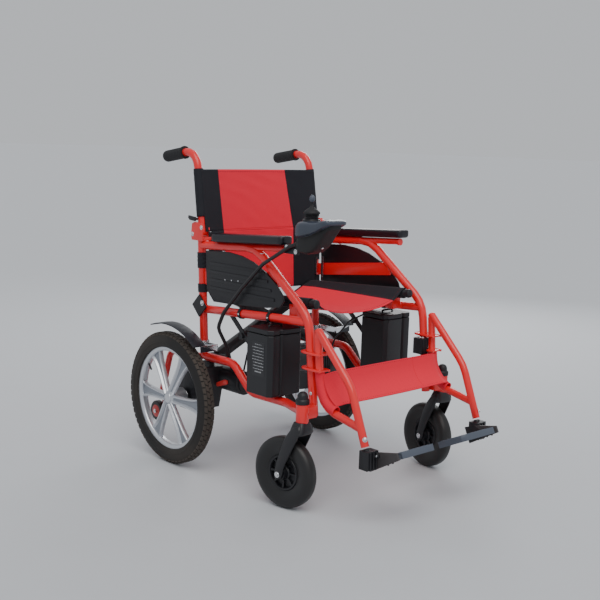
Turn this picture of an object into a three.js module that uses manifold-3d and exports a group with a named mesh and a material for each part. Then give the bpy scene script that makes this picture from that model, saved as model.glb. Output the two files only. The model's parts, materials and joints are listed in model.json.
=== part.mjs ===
// Folding power wheelchair. Millimetres, +Z up, the chair faces -Y, the occupant's right is -X.
// Everything is laid out with the rear axle at y = 0 and the floor at z = 0, then moved by ORIGIN_SHIFT_Y.
import * as THREE from 'three';
import { mergeVertices } from 'three/addons/utils/BufferGeometryUtils.js';
import Module from 'manifold-3d';

const wasm = await Module();
wasm.setup();

// Driving dimensions.
const FRAME_X = 229;
const FRAME_TUBE_R = 12.5;
const RAKE = 0.06;
const GAP = 0.4;
const ORIGIN_SHIFT_Y = 314.8;

const POST_TOP_Z = 688;
const POST_Y_AT_TOP = -46;
const POST_LEAN = 0.045;
const ARM_Z0 = 664.5;
const ARM_TUBE_R = 9.5;
const ARM_TUBE_LIFT = 1.8;
const ARM_TUBE_END_Y = -424;
const SEAT_RAIL_Z0 = 474.5;
const SEAT_TUBE_Z0 = 517.5;
const SEAT_TUBE_X = 188;
const SEAT_TUBE_REAR_Y = -72;
const SEAT_TUBE_FRONT_Y = -500;
const LOWER_RAIL_HIGH_Z = 334;
const LOWER_RAIL_LOW_Z = 265;

const BACK_X = 227;
const BACK_PIVOT = [-44, 708];
const BACK_LEAN = 0.147;
const SLEEVE_R = 15.5;

const BRACE_PIVOT_X = 199;
const BRACE_PIVOT_Z = 334;
const BRACE_CENTRE_Z = 432;
const BRACE_A_Y = -86;
const BRACE_B_Y = -112;
const BRACE_BARREL_Y = [-130.6, -69.4];

const WHEEL_X = 308;
const WHEEL_R = 203;
const WHEEL_SIDES = 32;
const RIM_R = 156;
const RIM_SPOKES = 6;
const FENDER_R = 231;
const CASTER_STEM = [285, -567];
const CASTER_TRAIL = 53;
const CASTER_R = 100;
const CASTER_SIDES = 24;
const CASTER_REST_TURN = 0.15;
const ANTITIP_WHEEL = [183, 110];
const ANTITIP_WHEEL_R = 33;

const MOTOR_AXIS = [176, 266];
const MOTOR_R = 36;
const BATTERY = { x: [167, 287], y: [-434, -334], z: [286, 474] };
const HANGER_R = 11;
const PLATE_HINGE = { x: 192, y: -742, z: 160 };
const PLATE_TOES_UP = 0.445;
const PLATE_FRONT = 110;
const PLATE_WIDTH = 134;
const PLATE_EAR_AT = 72;
const CONTROLLER_X = -240;
const STICK = { y: -534, pivotZ: 771, wellR: 20 };

const armZ = (y) => ARM_Z0 - RAKE * y;
const seatRailZ = (y) => SEAT_RAIL_Z0 - RAKE * y;
const seatTubeZ = (y) => SEAT_TUBE_Z0 - RAKE * y;
const postY = (z) => POST_Y_AT_TOP - POST_LEAN * (POST_TOP_Z - z);
const backY = (z) => BACK_PIVOT[0] + BACK_LEAN * (z - BACK_PIVOT[1]);

// Materials.
const material = (color, roughness, metalness = 0) =>
  new THREE.MeshStandardMaterial({ color, roughness, metalness });
const redPaint = material(0xd8262a, 0.35, 0.1);
const blackPaint = material(0x1b1c20, 0.45, 0.1);
const blackPlastic = material(0x1e2025, 0.5);
const blackRubber = material(0x161616, 0.85);
const alloy = material(0xc9ccd2, 0.35, 0.8);
const redFabric = material(0xc8323c, 0.85);
const greyPlate = material(0x5d6470, 0.5, 0.3);
const redPlastic = material(0xc22a2a, 0.45);

// Solids.
const vec = (x, y, z) => new THREE.Vector3(x, y, z);

// An indexed copy with positions only. Solids that came from a boolean already are.
function tidy(geometry) {
  const plain = geometry.clone();
  if (!plain.attributes.normal && plain.index) return plain;
  plain.deleteAttribute('normal');
  plain.deleteAttribute('uv');
  return mergeVertices(plain, 1e-4);
}

function toManifold(geometry) {
  const g = tidy(geometry);
  const mesh = new wasm.Mesh({
    numProp: 3,
    vertProperties: new Float32Array(g.attributes.position.array),
    triVerts: new Uint32Array(g.index.array),
  });
  return new wasm.Manifold(mesh);
}

function fromManifold(manifold) {
  const mesh = manifold.getMesh();
  const g = new THREE.BufferGeometry();
  g.setAttribute('position', new THREE.BufferAttribute(new Float32Array(mesh.vertProperties), 3));
  g.setIndex(new THREE.BufferAttribute(new Uint32Array(mesh.triVerts), 1));
  return g;
}

function join(...geometries) {
  return fromManifold(geometries.map(toManifold).reduce((a, b) => a.add(b)));
}

function cut(geometry, ...tools) {
  return fromManifold(tools.map(toManifold).reduce((a, b) => a.subtract(b), toManifold(geometry)));
}

function box([x0, x1], [y0, y1], [z0, z1]) {
  const g = new THREE.BoxGeometry(Math.abs(x1 - x0), Math.abs(y1 - y0), Math.abs(z1 - z0));
  return g.translate((x0 + x1) / 2, (y0 + y1) / 2, (z0 + z1) / 2);
}

// A bar of rectangular section from one point to another, widest along X.
function bar(from, to, widthX, height) {
  const length = from.distanceTo(to);
  const g = new THREE.BoxGeometry(widthX, height, length);
  const along = to.clone().sub(from).normalize();
  const side = vec(1, 0, 0);
  side.addScaledVector(along, -side.dot(along)).normalize();
  const up = along.clone().cross(side);
  const turn = new THREE.Matrix4().makeBasis(side, up, along);
  return g.applyMatrix4(turn.setPosition(from.clone().add(to).multiplyScalar(0.5)));
}

// A polygon given as [a, b] pairs, drawn in the plane across `axis` and extruded along it.
function prism(points, axis, from, to) {
  const shape = new THREE.Shape(points.map(([a, b]) => new THREE.Vector2(a, b)));
  const g = new THREE.ExtrudeGeometry(shape, { depth: to - from, bevelEnabled: false, steps: 1 });
  const basis = {
    x: [vec(0, 1, 0), vec(0, 0, 1), vec(1, 0, 0)],
    y: [vec(0, 0, 1), vec(1, 0, 0), vec(0, 1, 0)],
    z: [vec(1, 0, 0), vec(0, 1, 0), vec(0, 0, 1)],
  }[axis];
  const place = new THREE.Matrix4().makeBasis(...basis);
  return g.applyMatrix4(place.setPosition(basis[2].clone().multiplyScalar(from)));
}

// A round bar through a list of points. The first corner of each ring points along `side`.
function tube(path, radius, sides, side = vec(1, 0, 0)) {
  const positions = [];
  const index = [];
  path.forEach((point, i) => {
    const before = path[Math.max(i - 1, 0)];
    const after = path[Math.min(i + 1, path.length - 1)];
    const along = after.clone().sub(before).normalize();
    const u = side.clone().addScaledVector(along, -side.dot(along)).normalize();
    const v = along.clone().cross(u);
    for (let k = 0; k < sides; k += 1) {
      const angle = (2 * Math.PI * k) / sides;
      const p = point.clone().addScaledVector(u, radius * Math.cos(angle));
      p.addScaledVector(v, radius * Math.sin(angle));
      positions.push(p.x, p.y, p.z);
    }
  });
  for (let i = 0; i + 1 < path.length; i += 1) {
    for (let k = 0; k < sides; k += 1) {
      const a = i * sides + k;
      const b = i * sides + ((k + 1) % sides);
      index.push(a, b, b + sides, a, b + sides, a + sides);
    }
  }
  const last = (path.length - 1) * sides;
  for (let k = 1; k + 1 < sides; k += 1) {
    index.push(0, k + 1, k, last, last + k, last + k + 1);
  }
  const g = new THREE.BufferGeometry();
  g.setAttribute('position', new THREE.BufferAttribute(new Float32Array(positions), 3));
  g.setIndex(index);
  return g;
}

function rod(from, to, radius, sides) {
  const runsAlongX = Math.abs(to.x - from.x) > 0.9 * from.distanceTo(to);
  return tube([from, to], radius, sides, runsAlongX ? vec(0, 0, 1) : vec(1, 0, 0));
}

// A path through corner points with each inner corner rounded to its radius, in steps of about 17 degrees.
function rounded(corners, radii) {
  const path = [corners[0]];
  for (let i = 1; i + 1 < corners.length; i += 1) {
    const radius = Array.isArray(radii) ? radii[i - 1] : radii;
    const back = corners[i - 1].clone().sub(corners[i]).normalize();
    const ahead = corners[i + 1].clone().sub(corners[i]).normalize();
    const opening = back.angleTo(ahead);
    const turn = Math.PI - opening;
    const reach = radius * Math.tan(turn / 2);
    const centre = back.clone().add(ahead).normalize();
    centre.multiplyScalar(radius / Math.cos(turn / 2)).add(corners[i]);
    const start = corners[i].clone().addScaledVector(back, reach).sub(centre);
    const axis = back.clone().negate().cross(ahead).normalize();
    const steps = Math.max(2, Math.round(turn / 0.3));
    for (let k = 0; k <= steps; k += 1) {
      path.push(start.clone().applyAxisAngle(axis, (turn * k) / steps).add(centre));
    }
  }
  path.push(corners[corners.length - 1]);
  return path;
}

const inSide = (points, x = FRAME_X) => points.map(([y, z]) => vec(x, y, z));
const postPoint = (z) => vec(FRAME_X, postY(z), z);

// A solid of revolution about an axis along X through (y, z); profile is [x, radius] pairs, closed.
// A flat facet faces the floor.
function wheelSolid(profile, y, z, sides) {
  const facet = 1 / Math.cos(Math.PI / sides);
  const outline = [...profile, profile[0]].map(([x, r]) => new THREE.Vector2(r * facet, x));
  const g = new THREE.LatheGeometry(outline.reverse(), sides);
  g.rotateY(Math.PI / sides);
  const place = new THREE.Matrix4().makeBasis(vec(0, 0, 1), vec(1, 0, 0), vec(0, 1, 0));
  return g.applyMatrix4(place.setPosition(0, y, z));
}

function mirrored(geometry) {
  const g = tidy(geometry);
  g.scale(-1, 1, 1);
  const index = g.index.array;
  for (let i = 0; i < index.length; i += 3) {
    [index[i], index[i + 1]] = [index[i + 1], index[i]];
  }
  return g;
}

function turned(geometry, axis, angle, point) {
  const g = geometry.clone().translate(-point.x, -point.y, -point.z);
  g.applyMatrix4(new THREE.Matrix4().makeRotationAxis(axis, angle));
  return g.translate(point.x, point.y, point.z);
}

// Side frame, drawn for the occupant's left (+X).
const FRONT_TUBE_PATH = rounded(
  inSide([[-64.5, armZ(-64.5)], [-300, armZ(-300)], [-523, 517], [-553, 255]]),
  [110, 95],
);

function backHingeCheeks() {
  const outer = [[-70, 681.5], [-18, 681.5], [-14, 694], [-18, 729], [-30, 735], [-62, 735], [-70, 724]];
  const inner = [[-56, 681.5], [-24, 681.5], [-24, 716], [-32, 724], [-50, 724], [-56, 718]];
  const plates = [prism(inner, 'x', 208.5, 212), prism(outer, 'x', 242, 245.5)];
  const saddle = box([210, 244], [-66, -30], [681.5, 692]);
  return join(saddle, ...plates);
}

function rearPost() {
  const post = rod(postPoint(POST_TOP_Z), postPoint(351), FRAME_TUBE_R, 12);
  const guardBar = bar(vec(226, -52, 569), vec(226, -390, 606), 7, 38);
  const pin = rod(vec(209, ...BACK_PIVOT), vec(245, ...BACK_PIVOT), 4, 10);
  return cut(join(post, guardBar, backHingeCheeks(), pin), tube(FRONT_TUBE_PATH, FRAME_TUBE_R + GAP, 12));
}

// The bent front tube, and the straight arm tube under the pad.
function frontTube() {
  const bent = tube([vec(FRAME_X, -50, armZ(-50)), ...FRONT_TUBE_PATH.slice(1)], FRAME_TUBE_R, 12);
  const along = (y, lift) => vec(FRAME_X, y, armZ(y) + lift);
  const armTube = rod(along(-200, ARM_TUBE_LIFT), along(ARM_TUBE_END_Y, ARM_TUBE_LIFT), ARM_TUBE_R, 12);
  const cap = rod(along(ARM_TUBE_END_Y + 7, ARM_TUBE_LIFT - 1), along(ARM_TUBE_END_Y, ARM_TUBE_LIFT - 1),
    ARM_TUBE_R + 1.2, 12);
  const post = rod(postPoint(POST_TOP_Z), postPoint(600), FRAME_TUBE_R + GAP, 12);
  return cut(join(bent, armTube, cap), post);
}

function seatTubeCradle() {
  const foot = box([178, FRAME_X], [-452, -420], [seatRailZ(-436) - 6, seatRailZ(-436) + 6]);
  const saddle = box([SEAT_TUBE_X - 15, SEAT_TUBE_X + 21], [-452, -420],
    [seatRailZ(-436), seatTubeZ(-436) - 4]);
  const sleeve = rod(vec(SEAT_TUBE_X, -400, seatTubeZ(-400)), vec(SEAT_TUBE_X, -480, seatTubeZ(-480)),
    SLEEVE_R + GAP, 12);
  return cut(join(foot, saddle), sleeve);
}

function seatRail() {
  const rail = rod(vec(FRAME_X, -66, seatRailZ(-66)), vec(FRAME_X, -515, seatRailZ(-515)), FRAME_TUBE_R, 12);
  const link = bar(vec(FRAME_X - 2, -188, 478), vec(FRAME_X - 2, -292, 390), 4, 15);
  const knob = rod(vec(FRAME_X - 8, -242, 424), vec(FRAME_X + 8, -242, 424), 10, 12);
  const tools = [
    rod(postPoint(600), postPoint(400), FRAME_TUBE_R + GAP, 12),
    tube(FRONT_TUBE_PATH, FRAME_TUBE_R + GAP, 12),
  ];
  return cut(join(rail, seatTubeCradle(), link, knob), ...tools);
}

const LOWER_RAIL_PATH = rounded([
  vec(FRAME_X, -62, 350), vec(FRAME_X, -62, LOWER_RAIL_HIGH_Z), vec(FRAME_X, -205, LOWER_RAIL_HIGH_Z + 2),
  vec(FRAME_X, -288, LOWER_RAIL_LOW_Z), vec(FRAME_X, -440, LOWER_RAIL_LOW_Z + 2), vec(274, -558, 272),
], [14, 45, 45, 60]);

function lowerRail() {
  const [stemX, stemY] = CASTER_STEM;
  const barrel = rod(vec(stemX, stemY, 247), vec(stemX, stemY, 299), 17.5, 16);
  const gusset = box([FRAME_X + FRAME_TUBE_R + GAP, stemX - 8], [-578, -556], [258, 290]);
  const bore = rod(vec(stemX, stemY, 200), vec(stemX, stemY, 320), 8.4, 12);
  const [barrelFront, barrelRear] = BRACE_BARREL_Y;
  const lugs = [[barrelFront - 9, barrelFront - GAP], [barrelRear + GAP, barrelRear + 9]]
    .map((y) => box([BRACE_PIVOT_X, FRAME_X - 6], y, [BRACE_PIVOT_Z - 10, BRACE_PIVOT_Z + 8]));
  const hingePin = rod(vec(BRACE_PIVOT_X, barrelFront - 4, BRACE_PIVOT_Z),
    vec(BRACE_PIVOT_X, barrelRear + 4, BRACE_PIVOT_Z), 5, 10);
  const rail = join(tube(LOWER_RAIL_PATH, FRAME_TUBE_R, 12), ...lugs, hingePin);
  return cut(join(rail, barrel, gusset), bore);
}

function sideGuard() {
  const outline = [
    [-74, 654], [-184, 660], [-242, 655], [-293, 643], [-344, 622], [-390, 594], [-418, 567],
    [-426, 549], [-412, 531], [-358, 522], [-199, 510], [-114, 507], [-80, 540],
  ];
  const panel = prism(outline, 'x', 230.5, 236);
  const ribs = [548, 572, 596, 620]
    .map((z) => box([235.5, 238.5], [-388 + (z - 548) * 0.6, -96], [z - 4, z + 4]));
  return join(panel, ...ribs);
}

function armPad() {
  const bottom = FRAME_TUBE_R + GAP;
  const profile = [
    [-132, bottom], [-424, bottom], [-431, bottom + 6], [-431, bottom + 16], [-422, bottom + 23],
    [-140, bottom + 23], [-129, bottom + 17], [-127, bottom + 5],
  ].map(([y, up]) => [y, armZ(y) + up]);
  const pad = prism(profile, 'x', 212, 258);
  const corners = [[212, -131], [258, -131], [212, -431], [258, -431]];
  const tools = corners.map(([x, y]) => {
    const square = box([x - 9, x + 9], [y - 9, y + 9], [600, 800]);
    return turned(square, vec(0, 0, 1), Math.PI / 4, vec(x, y, 0));
  });
  return cut(pad, ...tools);
}

function fender() {
  const plate = [];
  const under = [];
  for (let i = 0; i <= 8; i += 1) {
    const angle = THREE.MathUtils.degToRad(70 + (58 * i) / 8);
    plate.push([FENDER_R * Math.cos(angle), WHEEL_R + FENDER_R * Math.sin(angle)]);
    under.unshift([(FENDER_R - 3) * Math.cos(angle), WHEEL_R + (FENDER_R - 3) * Math.sin(angle)]);
  }
  const blade = prism([...plate, ...under], 'x', WHEEL_X - 22, WHEEL_X + 20);
  const stay = box([243, 247], [-146, -48], [366, 384]);
  const tab = box([243, WHEEL_X - 4], [-146, -142], [366, 385]);
  return join(blade, stay, tab);
}

function gearmotor() {
  const [x, z] = MOTOR_AXIS;
  const motor = rod(vec(x, 10, z), vec(x, -194, z), MOTOR_R, 18);
  const endCap = rod(vec(x, -190, z), vec(x, -201, z), MOTOR_R - 8, 18);
  const gearbox = prism([[-104, 238], [-90, 176], [-30, 160], [28, 160], [42, 176], [42, 268], [20, 306],
    [-104, 306]], 'x', 192, 256);
  const axle = rod(vec(250, 0, WHEEL_R), vec(266, 0, WHEEL_R), 16, 12);
  const bracket = box([219, 239], [-100, -64], [300, LOWER_RAIL_HIGH_Z - FRAME_TUBE_R - GAP]);
  return join(motor, endCap, gearbox, axle, bracket);
}

function freewheelLever() {
  const outline = [[-158, 262], [-150, 258], [-112, 246], [-105, 251], [-109, 259], [-146, 274], [-156, 272]];
  const x = MOTOR_AXIS[0] + MOTOR_R + GAP;
  return prism(outline, 'x', x, x + 6);
}

function batteryBox() {
  const { x, y, z } = BATTERY;
  const body = box(x, [y[0] + 2, y[1] - 2], [z[0], z[1] - 14]);
  const lid = box([x[0] + 2, x[1] - 2], y, [z[1] - 42, z[1]]);
  const sole = box([x[0] + 4, x[1] - 4], y, [z[0] + 4, z[0] + 30]);
  const foot = box([FRAME_X - 9, FRAME_X + 9], [y[0] + 12, y[1] - 12],
    [LOWER_RAIL_LOW_Z + 2 + FRAME_TUBE_R + GAP, z[0] + 2]);
  return join(body, lid, sole, foot);
}

function hanger() {
  const upright = tube(rounded(inSide([[-561, 482], [-577, 288], [-731, 258]]), 75), HANGER_R, 10);
  const diagonal = tube(rounded(inSide([[-562, 488], [-690, 360], [-748, 214]]), 120), HANGER_R, 10);
  const rings = [427, 384].map((z) => {
    const y = -536 - (470 - z) * 0.084;
    const shift = -y - 545;
    const plate = prism([[212, -590 - shift], [246, -590 - shift], [248, -552 - shift], [246, -528 - shift],
      [236, -516 - shift], [222, -516 - shift], [212, -528 - shift], [210, -552 - shift]], 'z', z - 2, z + 2);
    return plate;
  });
  const latch = box([186, 214], [-566, -532], [374, 421]);
  const whole = join(upright, diagonal, ...rings, latch);
  return cut(whole, tube(FRONT_TUBE_PATH, FRAME_TUBE_R + GAP, 12));
}

// The clamp block on the hanger, with the tapered bracket that carries the footplate's hinge pin.
function footrestBlock() {
  const drop = rod(vec(FRAME_X, -750, 209.5), vec(226, -757, 192), 8.5, 12);
  const block = box([204, 244], [-772, -742], [157, 207]);
  const ribs = [210, 221, 232].map((x) => box([x, x + 5], [-775, -770], [157, 204]));
  const ears = [0, PLATE_EAR_AT].map((v) => plateSpace(box([-6, 16], [v, v + 6], [-9, 9])));
  const outline = [[0, -18], [PLATE_FRONT, -10], [PLATE_FRONT, 9], [36, 27], [0, 30]];
  const bracket = plateSpace(prism(outline, 'x', 10, 16));
  const pinHole = plateSpace(rod(vec(0, -10, 0), vec(0, PLATE_EAR_AT + 18, 0), 3.9, 10));
  return cut(join(drop, block, ...ribs, bracket, ...ears), pinHole);
}

// The footplate's own space: x runs outward from its hinge, y runs forward along the hinge, z is up.
function plateSpace(geometry) {
  const g = geometry.clone().rotateZ(Math.PI).scale(-1, 1, 1);
  const flipped = mirroredWinding(g);
  flipped.rotateX(-PLATE_TOES_UP);
  return flipped.translate(PLATE_HINGE.x, PLATE_HINGE.y, PLATE_HINGE.z);
}

function mirroredWinding(geometry) {
  const g = tidy(geometry);
  const index = g.index.array;
  for (let i = 0; i < index.length; i += 3) {
    [index[i], index[i + 1]] = [index[i + 1], index[i]];
  }
  return g;
}

// A tray: a flat deck with a skirt below its front, inner and rear edges.
function footplate() {
  const front = PLATE_FRONT;
  const inner = -PLATE_WIDTH;
  const outline = [[-2, 7], [-2, PLATE_EAR_AT - 1], [-13, PLATE_EAR_AT - 1], [-13, PLATE_EAR_AT + 7],
    [-2, PLATE_EAR_AT + 7], [-2, front], [inner + 10, front], [inner, front - 10], [inner, 15], [inner + 10, 5],
    [-13, 5], [-13, 7]];
  const deck = prism(outline, 'z', 3, 9);
  const corner = [[inner, front - 12], [inner, front - 10], [inner + 10, front], [inner + 12, front],
    [inner + 12, front - 6], [inner + 6, front - 12]];
  const skirts = [
    box([inner + 11, -2], [front - 6, front], [-9, 4]),
    box([inner, inner + 6], [15, front - 11], [-9, 4]),
    box([inner + 10, -13], [5, 11], [-9, 4]),
    prism(corner, 'z', -9, 4),
  ];
  const barrel = rod(vec(0, 6.4, 0), vec(0, PLATE_EAR_AT - 0.4, 0), 8, 12);
  const pin = rod(vec(0, -3, 0), vec(0, PLATE_EAR_AT + 8, 0), 3.5, 10);
  return plateSpace(join(deck, barrel, pin, ...skirts));
}

function antitipTube() {
  const path = rounded(inSide([[-49, 330], [112, 322], [168, 158]]), 38);
  const strut = bar(vec(FRAME_X - 18, 158, 188), vec(FRAME_X - 18, ...ANTITIP_WHEEL), 5, 20);
  const shoulder = box([FRAME_X - 20.5, FRAME_X], [150, 170], [160, 184]);
  const axle = rod(vec(FRAME_X - 20, ...ANTITIP_WHEEL), vec(FRAME_X + 14, ...ANTITIP_WHEEL), 5, 12);
  return join(tube(path, 10, 12), strut, shoulder, axle);
}

function antitipWheel() {
  const r = ANTITIP_WHEEL_R;
  const profile = [[-10, 5.4], [10, 5.4], [10, r - 4], [6, r], [-6, r], [-10, r - 4]];
  return wheelSolid(profile.map(([x, q]) => [x + FRAME_X, q]), ...ANTITIP_WHEEL, 20);
}

// Rear wheel.
function rearTyre() {
  const section = [
    [-17, RIM_R + GAP], [17, RIM_R + GAP], [20, 178], [17, 195], [8, WHEEL_R], [-8, WHEEL_R], [-17, 195],
    [-20, 178],
  ];
  return wheelSolid(section.map(([x, r]) => [x + WHEEL_X, r]), 0, WHEEL_R, WHEEL_SIDES);
}

function rearRim() {
  const ring = [[-15, 145], [11, 145], [12, RIM_R], [-16, RIM_R]];
  const rimRing = wheelSolid(ring.map(([x, r]) => [x + WHEEL_X, r]), 0, WHEEL_R, WHEEL_SIDES);
  const hub = rod(vec(WHEEL_X - 41, 0, WHEEL_R), vec(WHEEL_X + 6, 0, WHEEL_R), 26, 18);
  const cap = rod(vec(WHEEL_X + 4, 0, WHEEL_R), vec(WHEEL_X + 14, 0, WHEEL_R), 15, 18);
  const spokes = [];
  for (let i = 0; i < RIM_SPOKES; i += 1) {
    const web = prism([[-9, 16], [9, 16], [17, 148], [-17, 148]], 'x', -6, 0);
    const ribs = [-1, 1]
      .map((s) => prism([[s * 6, 18], [s * 12, 18], [s * 20, 148], [s * 12, 148]], 'x', -2, 8));
    const angle = Math.PI / 2 + (2 * Math.PI * i) / RIM_SPOKES;
    const spoke = turned(join(web, ...ribs), vec(1, 0, 0), angle, vec(0, 0, 0));
    spokes.push(spoke.translate(WHEEL_X, 0, WHEEL_R));
  }
  return join(rimRing, hub, cap, ...spokes);
}

// Caster, drawn trailing straight back.
function casterFork() {
  const [x, y] = CASTER_STEM;
  const outline = [
    [y - 23, 246], [y + 23, 246], [y + 34, 212], [y + CASTER_TRAIL + 14, 112], [y + CASTER_TRAIL + 14, 92],
    [y + CASTER_TRAIL + 2, 85], [y + CASTER_TRAIL - 12, 94], [y - 4, 194], [y - 22, 224],
  ];
  const legs = [-35, 28].map((from) => prism(outline, 'x', x + from, x + from + 7));
  const crown = box([x - 34, x + 34], [y - 22, y + 24], [224, 246]);
  const stem = rod(vec(x, y, 240), vec(x, y, 306), 8, 12);
  const cap = rod(vec(x, y, 299 + GAP), vec(x, y, 318), 18, 20);
  const capTop = rod(vec(x, y, 317), vec(x, y, 334), 12, 20);
  const axle = rod(vec(x - 30, y + CASTER_TRAIL, CASTER_R), vec(x + 30, y + CASTER_TRAIL, CASTER_R), 6, 12);
  return join(...legs, crown, stem, cap, capTop, axle);
}

function casterWheel() {
  const [x, y] = CASTER_STEM;
  const half = [[25, 6.4], [24, 18], [10, 22], [8, 54], [15, 66], [20, 80], [12, CASTER_R]];
  const section = [...half, ...half.map(([a, r]) => [-a, r]).reverse()];
  return wheelSolid(section.map(([a, r]) => [a + x, r]), y + CASTER_TRAIL, CASTER_R, CASTER_SIDES);
}

function swivelled(geometry) {
  return turned(geometry, vec(0, 0, 1), -CASTER_REST_TURN, vec(...CASTER_STEM, 0));
}

// Folding back.
function backPost() {
  const [y0, z0] = BACK_PIVOT;
  const path = rounded([vec(BACK_X, y0, z0), vec(BACK_X - 2, backY(720), 720), vec(BACK_X - 5, backY(944), 944),
    gripAxis(142)], [40, 52]);
  const foot = rod(vec(BACK_X - 11, y0, z0), vec(BACK_X + 11, y0, z0), 12, 14);
  const bore = rod(vec(BACK_X - 30, y0, z0), vec(BACK_X + 30, y0, z0), 4.4, 10);
  return cut(join(tube(path, FRAME_TUBE_R - 0.5, 12), foot), bore);
}

function gripAxis(y) {
  return vec(BACK_X - 6, y, 944 - ((y + 9) * 25) / 161);
}

function pushGrip() {
  const shell = rod(gripAxis(50), gripAxis(148), 17, 14);
  const flange = rod(gripAxis(48), gripAxis(56), 19, 14);
  const hollow = rod(gripAxis(40), gripAxis(144), FRAME_TUBE_R + 0.3, 14);
  return cut(join(shell, flange), hollow);
}

function releaseLever() {
  const outline = [[-40, 738], [-14, 740], [-7, 746], [-8, 753], [-18, 752], [-40, 750]];
  const blade = prism(outline, 'x', BACK_X + 18.9, BACK_X + 24.5);
  const stub = rod(vec(BACK_X + 11, -36, 744), vec(BACK_X + 20, -36, 744), 3.5, 8);
  return join(blade, stub);
}

// Crossed braces under the seat, each with the seat tube on its top end.
const BRACE_SLOPE = (BRACE_CENTRE_Z - BRACE_PIVOT_Z) / BRACE_PIVOT_X;

function brace(direction, y) {
  const at = (x, shift = 0) => vec(direction * x, y, BRACE_CENTRE_Z + BRACE_SLOPE * x + shift);
  const arm = crossBar(at(-BRACE_PIVOT_X), at(SEAT_TUBE_X), 20, 32);
  const barrelX = -direction * BRACE_PIVOT_X;
  const [barrelFront, barrelRear] = BRACE_BARREL_Y;
  const barrel = rod(vec(barrelX, barrelFront, BRACE_PIVOT_Z), vec(barrelX, barrelRear, BRACE_PIVOT_Z), 10.5, 12);
  const seatTube = rod(vec(direction * SEAT_TUBE_X, SEAT_TUBE_REAR_Y, seatTubeZ(SEAT_TUBE_REAR_Y)),
    vec(direction * SEAT_TUBE_X, SEAT_TUBE_FRONT_Y, seatTubeZ(SEAT_TUBE_FRONT_Y)), FRAME_TUBE_R, 12);
  const pinHole = rod(vec(0, y - 30, BRACE_CENTRE_Z), vec(0, y + 30, BRACE_CENTRE_Z), 6.4, 10);
  const hingeHole = rod(vec(barrelX, -160, BRACE_PIVOT_Z), vec(barrelX, -40, BRACE_PIVOT_Z), 5.4, 10);
  return cut(join(arm, barrel, seatTube), pinHole, hingeHole);
}

function crossBar(from, to, widthY, height) {
  const length = from.distanceTo(to);
  const g = new THREE.BoxGeometry(length, widthY, height);
  g.rotateY(-Math.atan2(to.z - from.z, to.x - from.x));
  return g.translate((from.x + to.x) / 2, from.y, (from.z + to.z) / 2);
}

function braceA() {
  const pin = rod(vec(0, BRACE_A_Y + 9, BRACE_CENTRE_Z), vec(0, BRACE_B_Y - 14, BRACE_CENTRE_Z), 6, 10);
  const head = rod(vec(0, BRACE_A_Y + 8, BRACE_CENTRE_Z), vec(0, BRACE_A_Y + 14, BRACE_CENTRE_Z), 10, 10);
  const plain = brace(1, BRACE_A_Y);
  return join(plain, pin, head);
}

const braceB = () => brace(-1, BRACE_B_Y);

// Upholstery.
function seatSling() {
  const top = [[-SEAT_TUBE_X + 12, 9], [-141, -20], [-92, -35], [-48, -40], [48, -40], [92, -35], [141, -20],
    [SEAT_TUBE_X - 12, 9]];
  const outline = [...top.map(([x, z]) => [z, x]), ...top.map(([x, z]) => [z - 4, x]).reverse()];
  const sheet = prism(outline, 'y', -486, -98);
  const sleeves = [-1, 1]
    .map((s) => rod(vec(s * SEAT_TUBE_X, -98, 0), vec(s * SEAT_TUBE_X, -486, 0), SLEEVE_R, 12));
  const flat = join(sheet, ...sleeves);
  flat.applyMatrix4(new THREE.Matrix4().makeShear(0, 0, 0, -RAKE, 0, 0));
  flat.translate(0, 0, SEAT_TUBE_Z0);
  const bores = [-1, 1].map((s) => rod(vec(s * SEAT_TUBE_X, -60, seatTubeZ(-60)),
    vec(s * SEAT_TUBE_X, -540, seatTubeZ(-540)), FRAME_TUBE_R + GAP, 12));
  const slotArms = [[1, BRACE_A_Y], [-1, BRACE_B_Y]].map(([s, y]) => {
    const from = vec(s * 24, y, BRACE_CENTRE_Z + BRACE_SLOPE * 24);
    const to = vec(s * (SEAT_TUBE_X + 6), y, BRACE_CENTRE_Z + BRACE_SLOPE * (SEAT_TUBE_X + 6));
    return crossBar(from, to, 21, 33);
  });
  return cut(flat, ...bores, ...slotArms);
}

function backUpperPanel() {
  const bottom = 752;
  const top = 888;
  const low = 714;
  const section = [[backY(low) - 2, low], [backY(low) + 2, low], [backY(top) + 2, top], [backY(top) - 2, top]];
  const sheet = prism(section, 'x', -208, 208);
  const sleeves = [-1, 1].map((s) => rod(vec(s * (BACK_X - 2.6), backY(bottom), bottom),
    vec(s * (BACK_X - 4.6), backY(top), top), SLEEVE_R, 12));
  const ears = [-1, 1].map((s) => box([s * 200, s * (BACK_X - 8)], [-44, -36], [bottom, top]))
    .map((g) => g.applyMatrix4(new THREE.Matrix4().makeShear(0, 0, 0, 0, 0, BACK_LEAN)))
    .map((g) => g.translate(0, BACK_PIVOT[0] + 40 - BACK_LEAN * BACK_PIVOT[1], 0));
  const bores = [-1, 1].map((s) => rod(vec(s * (BACK_X - 2), backY(720), 720),
    vec(s * (BACK_X - 5), backY(944), 944), FRAME_TUBE_R, 12));
  return cut(join(sheet, ...ears, ...sleeves), ...bores);
}

function backLowerPanel() {
  const outline = [[postY(520) - 2, 520], [postY(520) + 2, 520], [postY(698) + 2, 698], [postY(698) - 2, 698]];
  return prism(outline, 'x', -206, 206);
}

function calfStrap() {
  const run = [[-583, 372], [-592, 342], [-612, 314], [-634, 296]];
  const front = run.map(([y, z]) => [y - 3.2, z + 1.8]);
  return prism([...run, ...front.reverse()], 'x', -217, 217);
}

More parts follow.
